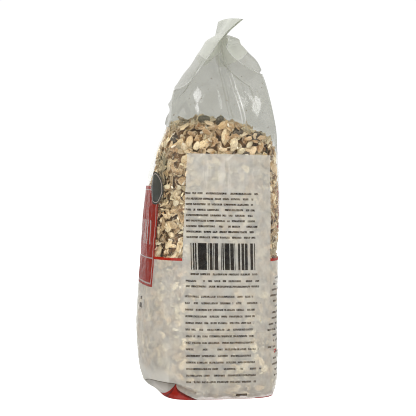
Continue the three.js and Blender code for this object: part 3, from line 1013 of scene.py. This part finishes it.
# The spots' grid: columns, and lowest level, highest level and number of levels. How far spots stray
# from it, in mm, and how many rounds set them apart.
SPOT_COLUMNS, SPOT_LEVELS, SPOT_STRAY, APART_ROUNDS = 288, (2.5, 170.0, 160), 0.5, 14
UNDER_TOP, HEAP_EDGE = 0.5, 2.5  # how far spots keep under the heap's top, and inside its edge
ANY_PHASE = 6.3  # a wave's random start lies within about a full turn


def draw_colours(kind, count, rng):
    """A colour for each thing, drawn from its kind's list and varied in brightness."""
    table = GRAIN_COLOURS[kind]
    palette = np.array([linear(*c) for c, _ in table])
    weights = np.array([w for _, w in table], float)
    picked = palette[rng.choice(len(table), count, p=weights / weights.sum())]
    return picked * rng.uniform(*BRIGHTNESS, (count, 1))


def store_tints(piece, colours, points):
    """Keeps each thing's colour in all of its points."""
    tint = np.repeat(colours, points, 0)
    store(piece, "tint", np.column_stack([tint, np.ones(len(tint))]), "FLOAT_COLOR")


def turned_frames(normals, rng, tilt):
    """Three axes for each thing: its own up is the normal tilted at random, and it is turned at random
    about it."""
    count = len(normals)
    up = normals + rng.normal(size=(count, 3)) * np.asarray(tilt).reshape(-1, 1)
    up /= np.linalg.norm(up, axis=1, keepdims=True)
    side = rng.normal(size=(count, 3))
    side -= (side * up).sum(1, keepdims=True) * up
    side /= np.linalg.norm(side, axis=1, keepdims=True)
    return side, np.cross(up, side), up


def spread_apart(points, gap):
    """Numbers of the points that stay when none may lie nearer than gap to another: round by round,
    each point that comes first among its open neighbours stays and the neighbours go."""
    p = points.astype(np.float32)
    square = (p * p).sum(1)
    near = square[:, None] + square[None] - 2 * p @ p.T < gap * gap
    state = np.zeros(len(p), int)
    for _ in range(APART_ROUNDS):
        waiting = state == 0
        stays = waiting & (np.argmax(near & waiting[None], axis=1) == np.arange(len(p)))
        state[stays] = 1
        state[near[:, stays].any(1) & (state == 0)] = -1
    return np.flatnonzero(state == 1)


class Fill:
    """Where contents can lie: spots just behind the film, and on the heap's top."""

    def __init__(self, space):
        self.space = space
        rows = body_rows(SPOT_COLUMNS, np.linspace(*SPOT_LEVELS))
        self.points, self.normals = rows, row_normals(rows)
        step = np.linalg.norm(np.roll(rows, -1, 1) - rows, axis=-1)
        weight = step * (rows[..., 2] < fill_top(rows[..., 0], rows[..., 1]) - UNDER_TOP)
        self.chance = (weight / weight.sum()).ravel()

    def behind_film(self, count, depth, rng):
        """Random spots at a depth behind the film, with the film's normals."""
        chosen = rng.choice(self.chance.size, count, p=self.chance)
        n = self.normals.reshape(-1, 3)[chosen]
        p = self.points.reshape(-1, 3)[chosen] + rng.normal(size=(count, 3)) * SPOT_STRAY
        return p - n * (depth + rng.uniform(0, SPOT_STRAY, (count, 1))), n

    def on_top(self, count, depth, rng):
        """Random spots on the heap."""
        p = np.empty((0, 3))
        while len(p) < count:
            xy = rng.uniform(-1, 1, (count * 2, 2)) * HEAP_HALF + (0, HEAP_AXIS)
            z = fill_top(xy[:, 0], xy[:, 1]) - depth
            shift = np.interp(z, self.space.levels, self.space.shift)
            radius = np.hypot(xy[:, 0], xy[:, 1] - shift)
            film = self.space.radius(z, np.arctan2(xy[:, 1] - shift, xy[:, 0]))
            inside = radius < film - HEAP_EDGE
            p = np.concatenate([p, np.column_stack([xy, z])[inside]])
        p = p[:count]
        along_x, along_y = HEAP_SLOPES
        n = np.column_stack([along_x * p[:, 0], along_y * (p[:, 1] - HEAP_TOP_AT), np.ones(count)])
        return p, n / np.linalg.norm(n, axis=1, keepdims=True)


def flake_net(spokes):
    """A flake's net: a top and an underside, each a middle point and an inner ring, that share a rim.
    Returns the points' radius and angle, which side they are on, and the triangles."""
    turn = np.arange(spokes) * 2 * math.pi / spokes
    ring = np.full(spokes, INNER_RING)
    radius = np.concatenate([[0], ring, np.ones(spokes), ring, [0]])
    angle = np.concatenate([[0], turn, turn, turn, [0]])
    sheet = np.concatenate([np.ones(1 + spokes), np.zeros(spokes), -np.ones(spokes + 1)])
    k, last = np.arange(spokes), 1 + 3 * spokes
    (top, rim, low), (top_n, rim_n, low_n) = (
        [1 + ring * spokes + place for ring in range(3)] for place in (k, (k + 1) % spokes))
    corners = ((0 * k, top, top_n), (top, rim, rim_n), (top, rim_n, top_n),
               (low, rim_n, rim), (low, low_n, rim_n), (0 * k + last, low_n, low))
    return radius, angle, sheet, np.concatenate([np.stack(three, 1) for three in corners])


def flake_points(spots, frames, length, width, thick, rng, spokes, curl):
    """Flakes as a whole array: an oval outline with uneven lobes and chips, bowl-curved along and
    across, twisted a little and folded along the middle, with a thin rim. Returns the points, the
    triangles of one, and each point's distance from its flake's middle and from its seam."""
    radius, angle, sheet, faces = flake_net(spokes)
    count = len(spots)
    lobes = sum(
        rng.normal(size=(count, 1)) * a * np.cos(k * angle + rng.uniform(0, ANY_PHASE, (count, 1)))
        for k, a in LOBES)
    chips = rng.uniform(*CHIPS, (count, spokes))
    chips = np.concatenate([np.zeros((count, 1)), chips, chips, chips, np.zeros((count, 1))], 1)
    reach = radius * (1 + lobes + chips)
    u, v = reach * np.cos(angle), reach * np.sin(angle)
    x, y = u * length[:, None] / 2, v * width[:, None] / 2
    bend = rng.normal(size=(3, count, 1)) * curl
    bowl = (bend[0] * u**2 + bend[1] * v**2 + bend[2] * u * v) * length[:, None] / 2
    fold = rng.normal(size=(count, 1)) * SEAM_FOLD * curl * np.abs(v) * width[:, None] / 2
    z = bowl + fold + sheet * thick[:, None] / 2 * (1 - RIM_THIN * radius**2)
    a, b, c = (f[:, None, :] for f in frames)
    p = spots[:, None, :] + x[..., None] * a + y[..., None] * b + z[..., None] * c
    return p, faces, np.broadcast_to(radius, x.shape), v


def joined(points, faces):
    """Many copies of one net as one mesh's points and triangles."""
    count, size = points.shape[:2]
    all_faces = faces[None] + (np.arange(count) * size)[:, None, None]
    return points.reshape(-1, 3), all_faces.reshape(-1, faces.shape[1])


def lay_flakes(fill, layers, count, rng):
    """Spots of all flakes: in layers behind the film and on the heap, so that no two of a layer lie
    closer than its gap. The outer layer leaves the things in SHOWN clear. Returns the spots, normals,
    tilts, distances kept from the film, and shades: painted shade that darkens a deeper layer's tints."""
    shown = np.array([spot for spots in SHOWN.values() for spot in spots], float)
    shown = fill.space.press(shown[None], np.full((1, len(shown)), SHOWN_MARGIN))[0]
    parts = []
    for number, (gap, tilt, depth, shade) in enumerate(layers):
        for draw, tries, margin in ((fill.behind_film, count, depth),
                                    (fill.on_top, count // HEAP_SHARE, HEAP_MARGIN)):
            spots, n = draw(tries, depth, rng)
            if number == 0:
                clear = np.linalg.norm(spots[:, None] - shown[None], axis=-1).min(1) > SHOWN_CLEAR
                spots, n = spots[clear], n[clear]
            kept = spread_apart(spots, gap)
            parts.append((spots[kept], n[kept], *(np.full(len(kept), v) for v in (tilt, margin, shade))))
    return [np.concatenate(column) for column in zip(*parts)]


def flake_piece(fill, laid, oat, flake, rng):
    """One kind of flake, a row of FLAKES, as one piece on its laid spots. oat is an oat flake's length."""
    name, kind, share, more, aspect, thick, spokes, curl, roughness, smooth = flake
    spots, n, tilt, margin, shade = laid
    count = len(spots)
    size = (share * oat + more) * np.clip(rng.normal(1, SIZE_SPREAD, count), *SIZE_LIMITS)
    wide = size * aspect * rng.uniform(*WIDTH_RANGE, count)
    thickness = thick * rng.uniform(*THICK_RANGE, count)
    frames = turned_frames(n, rng, tilt)
    p, faces, rim, seam = flake_points(spots, frames, size, wide, thickness, rng, spokes, curl)
    keep = (margin + rng.uniform(0, MARGIN_MORE, count))[:, None] * np.ones(p.shape[:2])
    p = fill.space.press(p, keep, 1.0)
    points, faces = joined(p, faces)
    piece = mesh_piece(name, centred(points), faces, smooth)
    # A deeper layer's tints are darkened by its shade: painted shade.
    store_tints(piece, draw_colours(kind, count, rng) * shade[:, None], p.shape[1])
    store(piece, "rim", rim.ravel())
    store(piece, "seam", seam.ravel())
    dress(piece, flake_material(name.rstrip("s"), roughness))


def round_net(rings, spokes):
    """A closed ball's net: angles up and round for each point, with one point at each pole."""
    lat = np.linspace(-math.pi / 2, math.pi / 2, rings + 2)[1:-1]
    lon = np.arange(spokes) * 2 * math.pi / spokes
    up, turn = (g.ravel() for g in np.meshgrid(lat, lon, indexing="ij"))
    up, turn = np.append(up, [-math.pi / 2, math.pi / 2]), np.append(turn, [0, 0])
    south = rings * spokes
    faces = [as_triangles(grid_faces(rings, spokes)), fan(spokes, south),
             fan(spokes, south + 1, south - spokes, True)]
    return up, turn, np.concatenate(faces)


def round_piece(fill, spots, normals, sizes, thing, rng):
    """One kind of rounded thing, a row of ROUND_THINGS, as one piece. Its shape gives each thing its
    radius for a direction, and a second value that the material reads."""
    name, kind, _, _, _, net, margin = thing
    shape, skin = ROUND_LOOKS[kind]
    up, turn, faces = round_net(*net)
    count = len(spots)
    unit = np.stack([np.cos(up) * np.cos(turn), np.cos(up) * np.sin(turn), np.sin(up)], -1)
    radius, extra, unit = shape(unit[None].repeat(count, 0), rng)
    body = unit * radius[..., None] * sizes[:, None, :] / 2
    a, b, c = (f[:, None, :] for f in turned_frames(normals, rng, ROUND_TILT))
    p = spots[:, None, :] + body[..., :1] * a + body[..., 1:2] * b + body[..., 2:] * c
    p = fill.space.press(p, np.full(p.shape[:2], margin), 1.0)
    points, faces = joined(p, faces)
    piece = mesh_piece(name, centred(points), faces)
    if kind in GRAIN_COLOURS:
        store_tints(piece, draw_colours(kind, count, rng), p.shape[1])
    store(piece, "ridge", extra.ravel())
    dress(piece, skin())


# A raisin's wrinkles: how many waves, how fast they run in random directions and all together, where
# a ridge starts, how sharp it is, and the radius in a valley with what a ridge adds.
WRINKLES, WRINKLE_SPREAD, WRINKLE_SPEED = 5, 3.4, 1.3
RIDGE_FROM, RIDGE_SHARP, VALLEY_RADIUS, RIDGE_RISE = 0.35, 2.2, 0.72, 0.34
# How much a kernel narrows to its tip and to its blunt end, and how a nut's flat faces cut it.
TIP_NARROWS, TIP_POWER, BLUNT_NARROWS = 0.55, 1.6, 0.12
NUT_CUTS, CUT_DISTANCE, CUT_LEAST = 4, 0.55, 0.05


def raisin_shape(unit, rng):
    """A raisin: deep wrinkles, as the ridges of summed waves round it, folded up sharply."""
    count = len(unit)
    runs = rng.normal(size=(WRINKLES, count, 1, 3)) * WRINKLE_SPREAD
    waves = sum(
        np.abs(np.sin((unit * k).sum(-1) * WRINKLE_SPEED + rng.uniform(0, ANY_PHASE, (count, 1))))
        for k in runs) / WRINKLES
    ridge = np.clip((waves - RIDGE_FROM) * RIDGE_SHARP, 0, 1)
    return VALLEY_RADIUS + RIDGE_RISE * ridge, ridge, unit


def kernel_shape(unit, rng):
    """A shelled sunflower kernel: a drop, pointed at one end, smooth."""
    t = unit[..., 0]
    narrow = np.where(t > 0, 1 - TIP_NARROWS * np.abs(t) ** TIP_POWER, 1 - BLUNT_NARROWS * t**2)
    shaped = np.stack([t, unit[..., 1] * narrow, unit[..., 2] * narrow], -1)
    return np.ones(t.shape), np.ones(t.shape), shaped


def nut_shape(unit, rng):
    """A broken nut: a ball cut by a few random flat faces."""
    count = len(unit)
    planes = rng.normal(size=(NUT_CUTS, count, 1, 3))
    radius = np.ones(unit.shape[:-1])
    for n in planes:
        n = n / np.linalg.norm(n, axis=-1, keepdims=True)
        radius = np.minimum(radius, CUT_DISTANCE / np.maximum((unit * n).sum(-1), CUT_LEAST))
    return radius, radius, unit


def kernel_skin():
    return kernel_material("sunflower_kernel", linear(226, 214, 184), linear(168, 150, 116), 0.4)


def nut_skin():
    return kernel_material("hazelnut", linear(240, 226, 194), linear(176, 128, 82), 0.5)


ROUND_LOOKS = {"raisin": (raisin_shape, raisin_material), "kernel": (kernel_shape, kernel_skin),
               "nut": (nut_shape, nut_skin)}


# ---------------------------------------------------------------- film and core

FILM_SEED, CORE_SEED = 5, 3
FILM_COLUMNS, BODY_ROWS, ROOF_ROWS, FIN_ROWS = 400, 128, 48, 9
FOOT_LEVELS = [0, 0.35, 0.9, 1.6, 2.5, 3.6, 5, 6.4, 7.8, 9, 9.7, 10.2, 10.7, 11.6, 13]
BASE_SHARES = np.array([0.12, 0.3, 0.5, 0.7, 0.86, 0.95])[:, None, None]
FAR_OFF, TOP_FAR_OFF = 30.0, 300.0  # distances given where a crease or the fin is out of reach
# Crumples of the loose film, and bumps of the tight film and the core: waves, length and height.
LOOSE_CRUMPLES, TIGHT_BUMPS, CORE_BUMPS = (5, 30.0, 0.55), [(9, 9.0, 0.16), (6, 34.0, 0.25)], (10, 8.0, 0.7)
# How much of a crumple the fin, the roof, and the front and back panels get.
FIN_LOOSE, ROOF_LOOSE, PANEL_LOOSE = 0.25, 0.8, 0.3
# The film is slack from a little under the heap's top, over a short ramp, and at the front corners.
SLACK_UNDER, SLACK_RAMP, CORNER_SLACK, CORNER_SLACK_GAP = 1.5, 5.0, 0.9, 1.4
CORNER_Y, CORNER_Y_RAMP, CORNER_X, CORNER_X_RAMP = 30.5, 3.0, 26.0, 10.0
CREASE_CALM, FOOT_CALM, FOOT_CALM_RAMP = 7.0, 14.0, 10.0  # crumples fade at creases, bumps at the foot
# The two soft creases over the label: height, width, place beside the middle crease, how far they
# curve apart, from which level down and over which height, and the level and reach of the deepest part.
SOFT_CREASE, SOFT_WIDTH, SOFT_ASIDE = 0.5, 1.1, 6.0
SOFT_SPREAD, SOFT_FROM, SOFT_OVER, SOFT_AT, SOFT_REACH = 15.0, 168.0, 28.0, 150.0, 12.0
CORE_COLUMNS, CORE_ROWS, CORE_FLOOR, CORE_UNDER, CORE_INSET, CORE_MARGIN = 180, 90, 1.2, 6.0, 4.6, 2.6
CORE_HALF, CORE_LID, CORE_BASE = (40.0, 32.0), (0.93, 0.0, 16), np.array([0.5, 0.9])[:, None, None]
CORE_FOOT, CORE_FOOT_FROM, CORE_FOOT_RAMP = 1.6, 10.0, 8.0  # it widens a little towards the floor


def film_rows(rng):
    """The film as rows of points, and the values that its material reads: how slack it is, the arcs
    from the nearest corner crease and from the gusset's middle crease, and the length up to the fin's
    top edge."""
    columns = FILM_COLUMNS
    body_levels = np.concatenate([FOOT_LEVELS, np.linspace(14.5, SHOULDER, BODY_ROWS)])
    roof = np.concatenate([[0.012, 0.03, 0.05], np.linspace(0.075, 1, ROOF_ROWS)])
    rows = bag_rows(columns, body_levels, roof, np.linspace(0.12, 1, FIN_ROWS))
    panel, across, _ = ring_places(columns)
    step = np.linalg.norm(np.diff(rows, axis=0), axis=-1)
    from_top = np.zeros(rows.shape[:2])
    from_top[:-1] = np.cumsum(step[::-1], axis=0)[::-1]
    around = np.linalg.norm(np.roll(rows, -1, 1) - rows, axis=-1)
    arc = np.cumsum(around, axis=1) - around
    x, y, z = (rows[..., k] for k in range(3))
    slack = ease((z - fill_top(x, y) + SLACK_UNDER) / SLACK_RAMP)
    at_corner = ease((-y - CORNER_Y) / CORNER_Y_RAMP) * ease((np.abs(x) - CORNER_X) / CORNER_X_RAMP)
    off_fill = ease(corner_gap(y, z) / CORNER_SLACK_GAP)
    slack = np.maximum(slack, CORNER_SLACK * off_fill * at_corner)
    per_panel = around * (columns // 8)
    normals = row_normals(rows)
    row = np.arange(len(rows))[:, None]
    in_roof, in_fin = row >= len(body_levels), row >= len(body_levels) + len(roof)

    # Loose film is crumpled in crossing facets; tight film lies over the flakes in low bumps.
    loose = slack * np.where(in_fin, FIN_LOOSE, 1.0) * np.where(in_roof, ROOF_LOOSE, 1.0)
    side = (panel % 2 == 0)[None]
    crease = crumple(arc, z, rng, *LOOSE_CRUMPLES) * np.where(side, 1.0, PANEL_LOOSE)
    tight = sum(lumps(rows, rng, waves, length) * tall for waves, length, tall in TIGHT_BUMPS)
    off = np.minimum(1.0, (1 - np.abs(across)) * CREASE_CALM)
    push = loose * crease * off + (1 - slack) * tight * ease((z - FOOT_CALM) / FOOT_CALM_RAMP)

    # At the label's top, two soft creases curve down from the gusset's middle crease.
    facing = np.where(panel < 2, 1.0, -1.0)
    ups = np.concatenate([np.zeros(len(body_levels)), roof, np.ones(FIN_ROWS)])[:, None]
    beside = (facing * across - gusset_centre(ups)) * per_panel
    curve = SOFT_SPREAD * ease((SOFT_FROM - z) / SOFT_OVER)
    for sign in (-1, 1):
        line = SOFT_CREASE * bell(beside + SOFT_ASIDE - sign * curve, SOFT_WIDTH)
        push = push + line * side * bell(z - SOFT_AT, SOFT_REACH)
    rows = fold_facets(rows + normals * push[..., None])
    rows[..., 2] = np.maximum(rows[..., 2], 0.0)
    corner = (1 - np.abs(across)) * per_panel
    middle = np.where(side, beside, np.where(panel == 1, FAR_OFF, -FAR_OFF))
    return rows, {"slack": slack, "corner": corner, "middle": middle, "from_top": from_top}


def film_net(count, columns):
    """The closed film's triangles: rows that close round, a fan under the base, and the fin's top edge.
    That edge is a strip from front to back, with the gusset's layers at each end."""
    top, corner, half = (count - 1) * columns, columns // 8, columns // 2
    i, j = np.arange(1, corner), np.arange(corner, half - corner)

    def on_edge(*places):
        """Corners on the top row, counted round it."""
        return top + np.stack(places, -1) % columns

    quads = [grid_faces(count, columns), on_edge(j, j + 1, -j - 1, -j), on_edge(i, i + 1, -i - 1, -i),
             on_edge(half - i - 1, half - i, half + i, half + i + 1)]
    tips = on_edge(*np.array([[0, half - 1], [1, half], [-1, half + 1]]))
    return np.concatenate([as_triangles(np.concatenate(quads)), fan(columns, count * columns), tips])


def core_rows(space, turn, rng):
    """The core's rows: columns behind the film that rise to the heap's own height there, a lid that
    closes in over the top, a base, and lumps. Returns them and the lid's middle point."""
    share = np.linspace(0, 1, CORE_ROWS)[:, None]
    x0, y0 = CORE_HALF[0] * np.cos(turn), CORE_HALF[1] * np.sin(turn) + HEAP_AXIS
    z = CORE_FLOOR + share * (fill_top(x0, y0) - CORE_UNDER - CORE_FLOOR)
    radius = space.radius(z, np.broadcast_to(np.arctan2(np.sin(turn), np.cos(turn)), z.shape))
    radius = radius - CORE_INSET + CORE_FOOT * ease((CORE_FOOT_FROM - z) / CORE_FOOT_RAMP)
    shift = np.interp(z, space.levels, space.shift)
    rows = np.stack([radius * np.cos(turn), radius * np.sin(turn) + shift, z], -1)
    closing = np.linspace(*CORE_LID)[:, None, None]
    lid = rows[-1][None] * closing + np.array([0, HEAP_AXIS, 0]) * (1 - closing)
    lid[..., 2] = fill_top(lid[..., 0], lid[..., 1]) - CORE_UNDER
    base = rows[0][None] * CORE_BASE
    base[..., 2] = CORE_FLOOR
    rows = np.concatenate([base, rows, lid[:-1]])
    waves, length, tall = CORE_BUMPS
    bumps = (lumps(rows, rng, waves, length) * tall)[..., None]
    return space.press(rows + row_normals(rows) * bumps, CORE_MARGIN), lid[-1, 0]


# ---------------------------------------------------------------- operators


class MUESLI_OT_film(bpy.types.Operator):
    """The bag's film: one closed surface with its folds, creases, print and haze"""
    bl_idname = "muesli.film"
    bl_label = "Film"

    def execute(self, context):
        rows, values = film_rows(np.random.default_rng(FILM_SEED))
        base = rows[0][None] * BASE_SHARES
        base[..., 2] = 0.0
        grid = np.concatenate([base, rows])
        points = np.concatenate([grid.reshape(-1, 3), [[0, 0, 0]]])
        piece = mesh_piece("film_bag", centred(points), film_net(*grid.shape[:2]))
        under_base = {"slack": 0.0, "corner": FAR_OFF, "middle": FAR_OFF, "from_top": TOP_FAR_OFF}
        for name, seen in values.items():
            inner = np.full(base[..., 0].size, under_base[name])
            store(piece, name, np.concatenate([inner, seen.ravel(), inner[:1]]))
        dress(piece, film_material(context.scene.print_colours))
        return {"FINISHED"}


class MUESLI_OT_core(bpy.types.Operator):
    """The filling's inside, a lumpy core under the flakes, coloured as painted shade"""
    bl_idname = "muesli.core"
    bl_label = "Core"

    def execute(self, context):
        columns = CORE_COLUMNS
        turn = np.linspace(0, 2 * math.pi, columns, endpoint=False)
        rows, top = core_rows(BagSpace(), turn, np.random.default_rng(CORE_SEED))
        points = np.concatenate([rows.reshape(-1, 3), [[0, HEAP_AXIS, CORE_FLOOR], top]])
        size = rows[..., 0].size
        faces = [as_triangles(grid_faces(len(rows), columns)), fan(columns, size),
                 fan(columns, size + 1, size - columns, True)]
        dress(mesh_piece("fill_core", centred(points), np.concatenate(faces)), core_material())
        return {"FINISHED"}


class MUESLI_OT_flakes(bpy.types.Operator):
    """Oat flakes, wheat and rye flakes and crumbs, in layers behind the film and on top"""
    bl_idname = "muesli.flakes"
    bl_label = "Flakes"

    def execute(self, context):
        mix_of = context.scene.muesli_mix
        fill = Fill(BagSpace())
        many = mix_of.flakes // 1
        rng = np.random.default_rng(mix_of.seed)

        def shares():
            """Each kind's spots, laid when its turn comes."""
            laid = lay_flakes(fill, FLAKE_LAYERS, many, rng)
            is_oat = rng.random(len(laid[0])) < OAT_SHARE
            yield [column[is_oat] for column in laid]
            yield [column[~is_oat] for column in laid]
            yield lay_flakes(fill, CRUMB_LAYERS, many // 2, rng)

        for flake, laid in zip(FLAKES, shares()):
            flake_piece(fill, laid, mix_of.oat_length / MM, flake, rng)
        return {"FINISHED"}


class MUESLI_OT_fruit(bpy.types.Operator):
    """Raisins, sunflower kernels and pieces of hazelnut"""
    bl_idname = "muesli.fruit"
    bl_label = "Fruit and kernels"

    def execute(self, context):
        mix_of = context.scene.muesli_mix
        fill = Fill(BagSpace())
        rng = np.random.default_rng(mix_of.seed + 7)
        for thing, count in zip(ROUND_THINGS, (mix_of.raisins, mix_of.kernels, mix_of.nuts)):
            _, kind, depth, least, most, _, _ = thing
            spots, normals = fill.behind_film(count, depth, rng)
            wanted = np.array(SHOWN[kind], float)[:count]
            spots[: len(wanted)] = wanted
            normals[: len(wanted)] = (1, 0, 0)
            sizes = rng.uniform(least, most, (count, 3))
            round_piece(fill, spots, normals, sizes, thing, rng)
        return {"FINISHED"}


CAMERA_AIM, CAMERA_ASIDE = 0.1117, 0.0006  # metres up the bag's axis and to the left that it looks at
WORLD_LIGHT, WORLD_SEEN = 0.30, 1.05
FLOOR_RINGS, FLOOR_SPOKES, FLOOR_GREY, FLOOR_GLOW = (6.0, 3.0, 1.2, 0.6, 0.3, 0.12), 96, 0.6, 0.25
# Lamps: name, direction from the front in degrees, height, distance, size, power, height aimed at.
LAMPS = [
    ("softbox_left", 35, 0.55, 1.4, (1.2, 1.3), 7.2, 0.12),
    ("softbox_right", 125, 0.55, 1.4, (1.2, 1.3), 3.9, 0.12),
    ("softbox_behind_right", 215, 0.55, 1.4, (1.2, 1.3), 4.4, 0.12),
    ("softbox_behind_left", 270, 0.55, 1.4, (0.9, 1.3), 4.5, 0.12),
    ("softbox_top", 80, 1.3, 0.3, (0.5, 1.2), 10.5, 0.12),
    ("strip_right", 167, 0.57, 1.05, (0.13, 0.13), 1.5, 0.17),
    ("strip_left", 60, 1.03, 0.85, (0.13, 0.13), 1.5, 0.17),
]


def direction(azimuth):
    """The level direction of an azimuth, counted from the front."""
    return Vector((math.sin(azimuth), -math.cos(azimuth), 0))


def placed(name, data, where, aim):
    """A camera or lamp in the scene that looks from one point to another."""
    thing = bpy.data.objects.new(name, data)
    bpy.context.scene.collection.objects.link(thing)
    thing.location = where
    thing.rotation_euler = (aim - where).to_track_quat("-Z", "Y").to_euler()
    return thing


def white_world():
    """A world that looks white and lights the scene less than it looks."""
    world = bpy.data.worlds.new("studio_white")
    world.use_nodes = True
    tree = world.node_tree
    tree.nodes.clear()
    path, level, backdrop, output = (tree.nodes.new("ShaderNode" + kind) for kind in (
        "LightPath", "Mix", "Background", "OutputWorld"))
    level.inputs[2].default_value, level.inputs[3].default_value = WORLD_LIGHT, WORLD_SEEN
    backdrop.inputs[0].default_value = (1, 1, 1, 1)
    tree.links.new(path.outputs["Is Camera Ray"], level.inputs[0])
    tree.links.new(level.outputs[0], backdrop.inputs[1])
    tree.links.new(backdrop.outputs[0], output.inputs[0])
    return world


def pale_floor():
    """A flat round floor of rings about the origin, that glows where the camera sees it."""
    turn = np.linspace(0, 2 * math.pi, FLOOR_SPOKES, endpoint=False)
    rings = np.array(FLOOR_RINGS)[:, None]
    points = np.stack([rings * np.cos(turn), rings * np.sin(turn), 0 * rings * turn], -1).reshape(-1, 3)
    faces = [as_triangles(grid_faces(len(rings), FLOOR_SPOKES)),
             fan(FLOOR_SPOKES, len(points), len(points) - FLOOR_SPOKES, True)]
    floor = mesh_piece("studio_floor", np.concatenate([points, [[0, 0, 0]]]), np.concatenate(faces))
    r = Recipe("pale_floor")
    matte = r.node("ShaderNodeBsdfDiffuse", None, {"Color": (FLOOR_GREY,) * 3}).outputs[0]
    seen = r.value("ShaderNodeLightPath")
    strength = FLOOR_GLOW + (1 - FLOOR_GLOW) * seen
    glow = r.node("ShaderNodeEmission", None, {"Color": (1, 1, 1), "Strength": strength}).outputs[0]
    both = r.node("ShaderNodeAddShader", None, {0: matte, 1: glow}).outputs[0]
    floor.data.materials.append(r.finish(both))
    floor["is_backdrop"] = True


class MUESLI_OT_studio(bpy.types.Operator):
    """Camera, soft lights and a plain pale floor"""
    bl_idname = "muesli.studio"
    bl_label = "Studio"

    def execute(self, context):
        scene, sizes = context.scene, context.scene.studio_sizes
        lens = bpy.data.cameras.new("camera")
        lens.lens, lens.clip_start = sizes.lens, 0.05
        where = direction(sizes.azimuth) * sizes.distance + Vector((0, 0, sizes.height))
        left = Vector((-math.cos(sizes.azimuth), -math.sin(sizes.azimuth), 0))
        scene.camera = placed("camera", lens, where, Vector((0, 0, CAMERA_AIM)) + left * CAMERA_ASIDE)
        for name, azimuth, height, distance, size, power, aim in LAMPS:
            light = bpy.data.lights.new(name, "AREA")
            light.shape, light.size, light.size_y, light.energy = "RECTANGLE", *size, power
            where = direction(math.radians(azimuth)) * distance + Vector((0, 0, height))
            placed(name, light, where, Vector((0, 0, aim)))
        scene.world = white_world()
        pale_floor()
        scene.view_settings.view_transform = "Standard"
        scene.view_settings.look = "None"
        scene.cycles.transparent_max_bounces = 32
        scene.cycles.filter_width = 1.1
        scene.cycles.max_bounces = 8
        return {"FINISHED"}


class MUESLI_PT_panel(bpy.types.Panel):
    """The bag's colours, amounts and studio sizes, with a button for each operator"""
    bl_idname = "MUESLI_PT_panel"
    bl_label = "Muesli Bag"
    bl_space_type = "VIEW_3D"
    bl_region_type = "UI"
    bl_category = "Muesli Bag"

    def draw(self, context):
        for group in (context.scene.print_colours, context.scene.muesli_mix, context.scene.studio_sizes):
            for name in group.bl_rna.properties.keys():
                if name not in ("rna_type", "name"):
                    self.layout.prop(group, name)
        for operator in OPERATORS:
            self.layout.operator(operator.bl_idname)


GROUPS = {"print_colours": PrintColours, "muesli_mix": MuesliMix, "studio_sizes": StudioSizes}
OPERATORS = (MUESLI_OT_studio, MUESLI_OT_film, MUESLI_OT_core, MUESLI_OT_flakes, MUESLI_OT_fruit)


def register():
    for group in (*GROUPS.values(), *OPERATORS, MUESLI_PT_panel):
        bpy.utils.register_class(group)
    for name, group in GROUPS.items():
        setattr(bpy.types.Scene, name, PointerProperty(type=group))


def unregister():
    for name in GROUPS:
        delattr(bpy.types.Scene, name)
    for group in (MUESLI_PT_panel, *reversed(OPERATORS), *GROUPS.values()):
        bpy.utils.unregister_class(group)


def main():
    register()
    bpy.ops.muesli.studio()
    bpy.ops.muesli.film()
    bpy.ops.muesli.core()
    bpy.ops.muesli.flakes()
    bpy.ops.muesli.fruit()
    boxes = {"cad": CAD_BOX, "visual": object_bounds()}
    plain = {key: [list(corner) for corner in box] for key, box in boxes.items()}


if __name__ == "__main__":
    main()
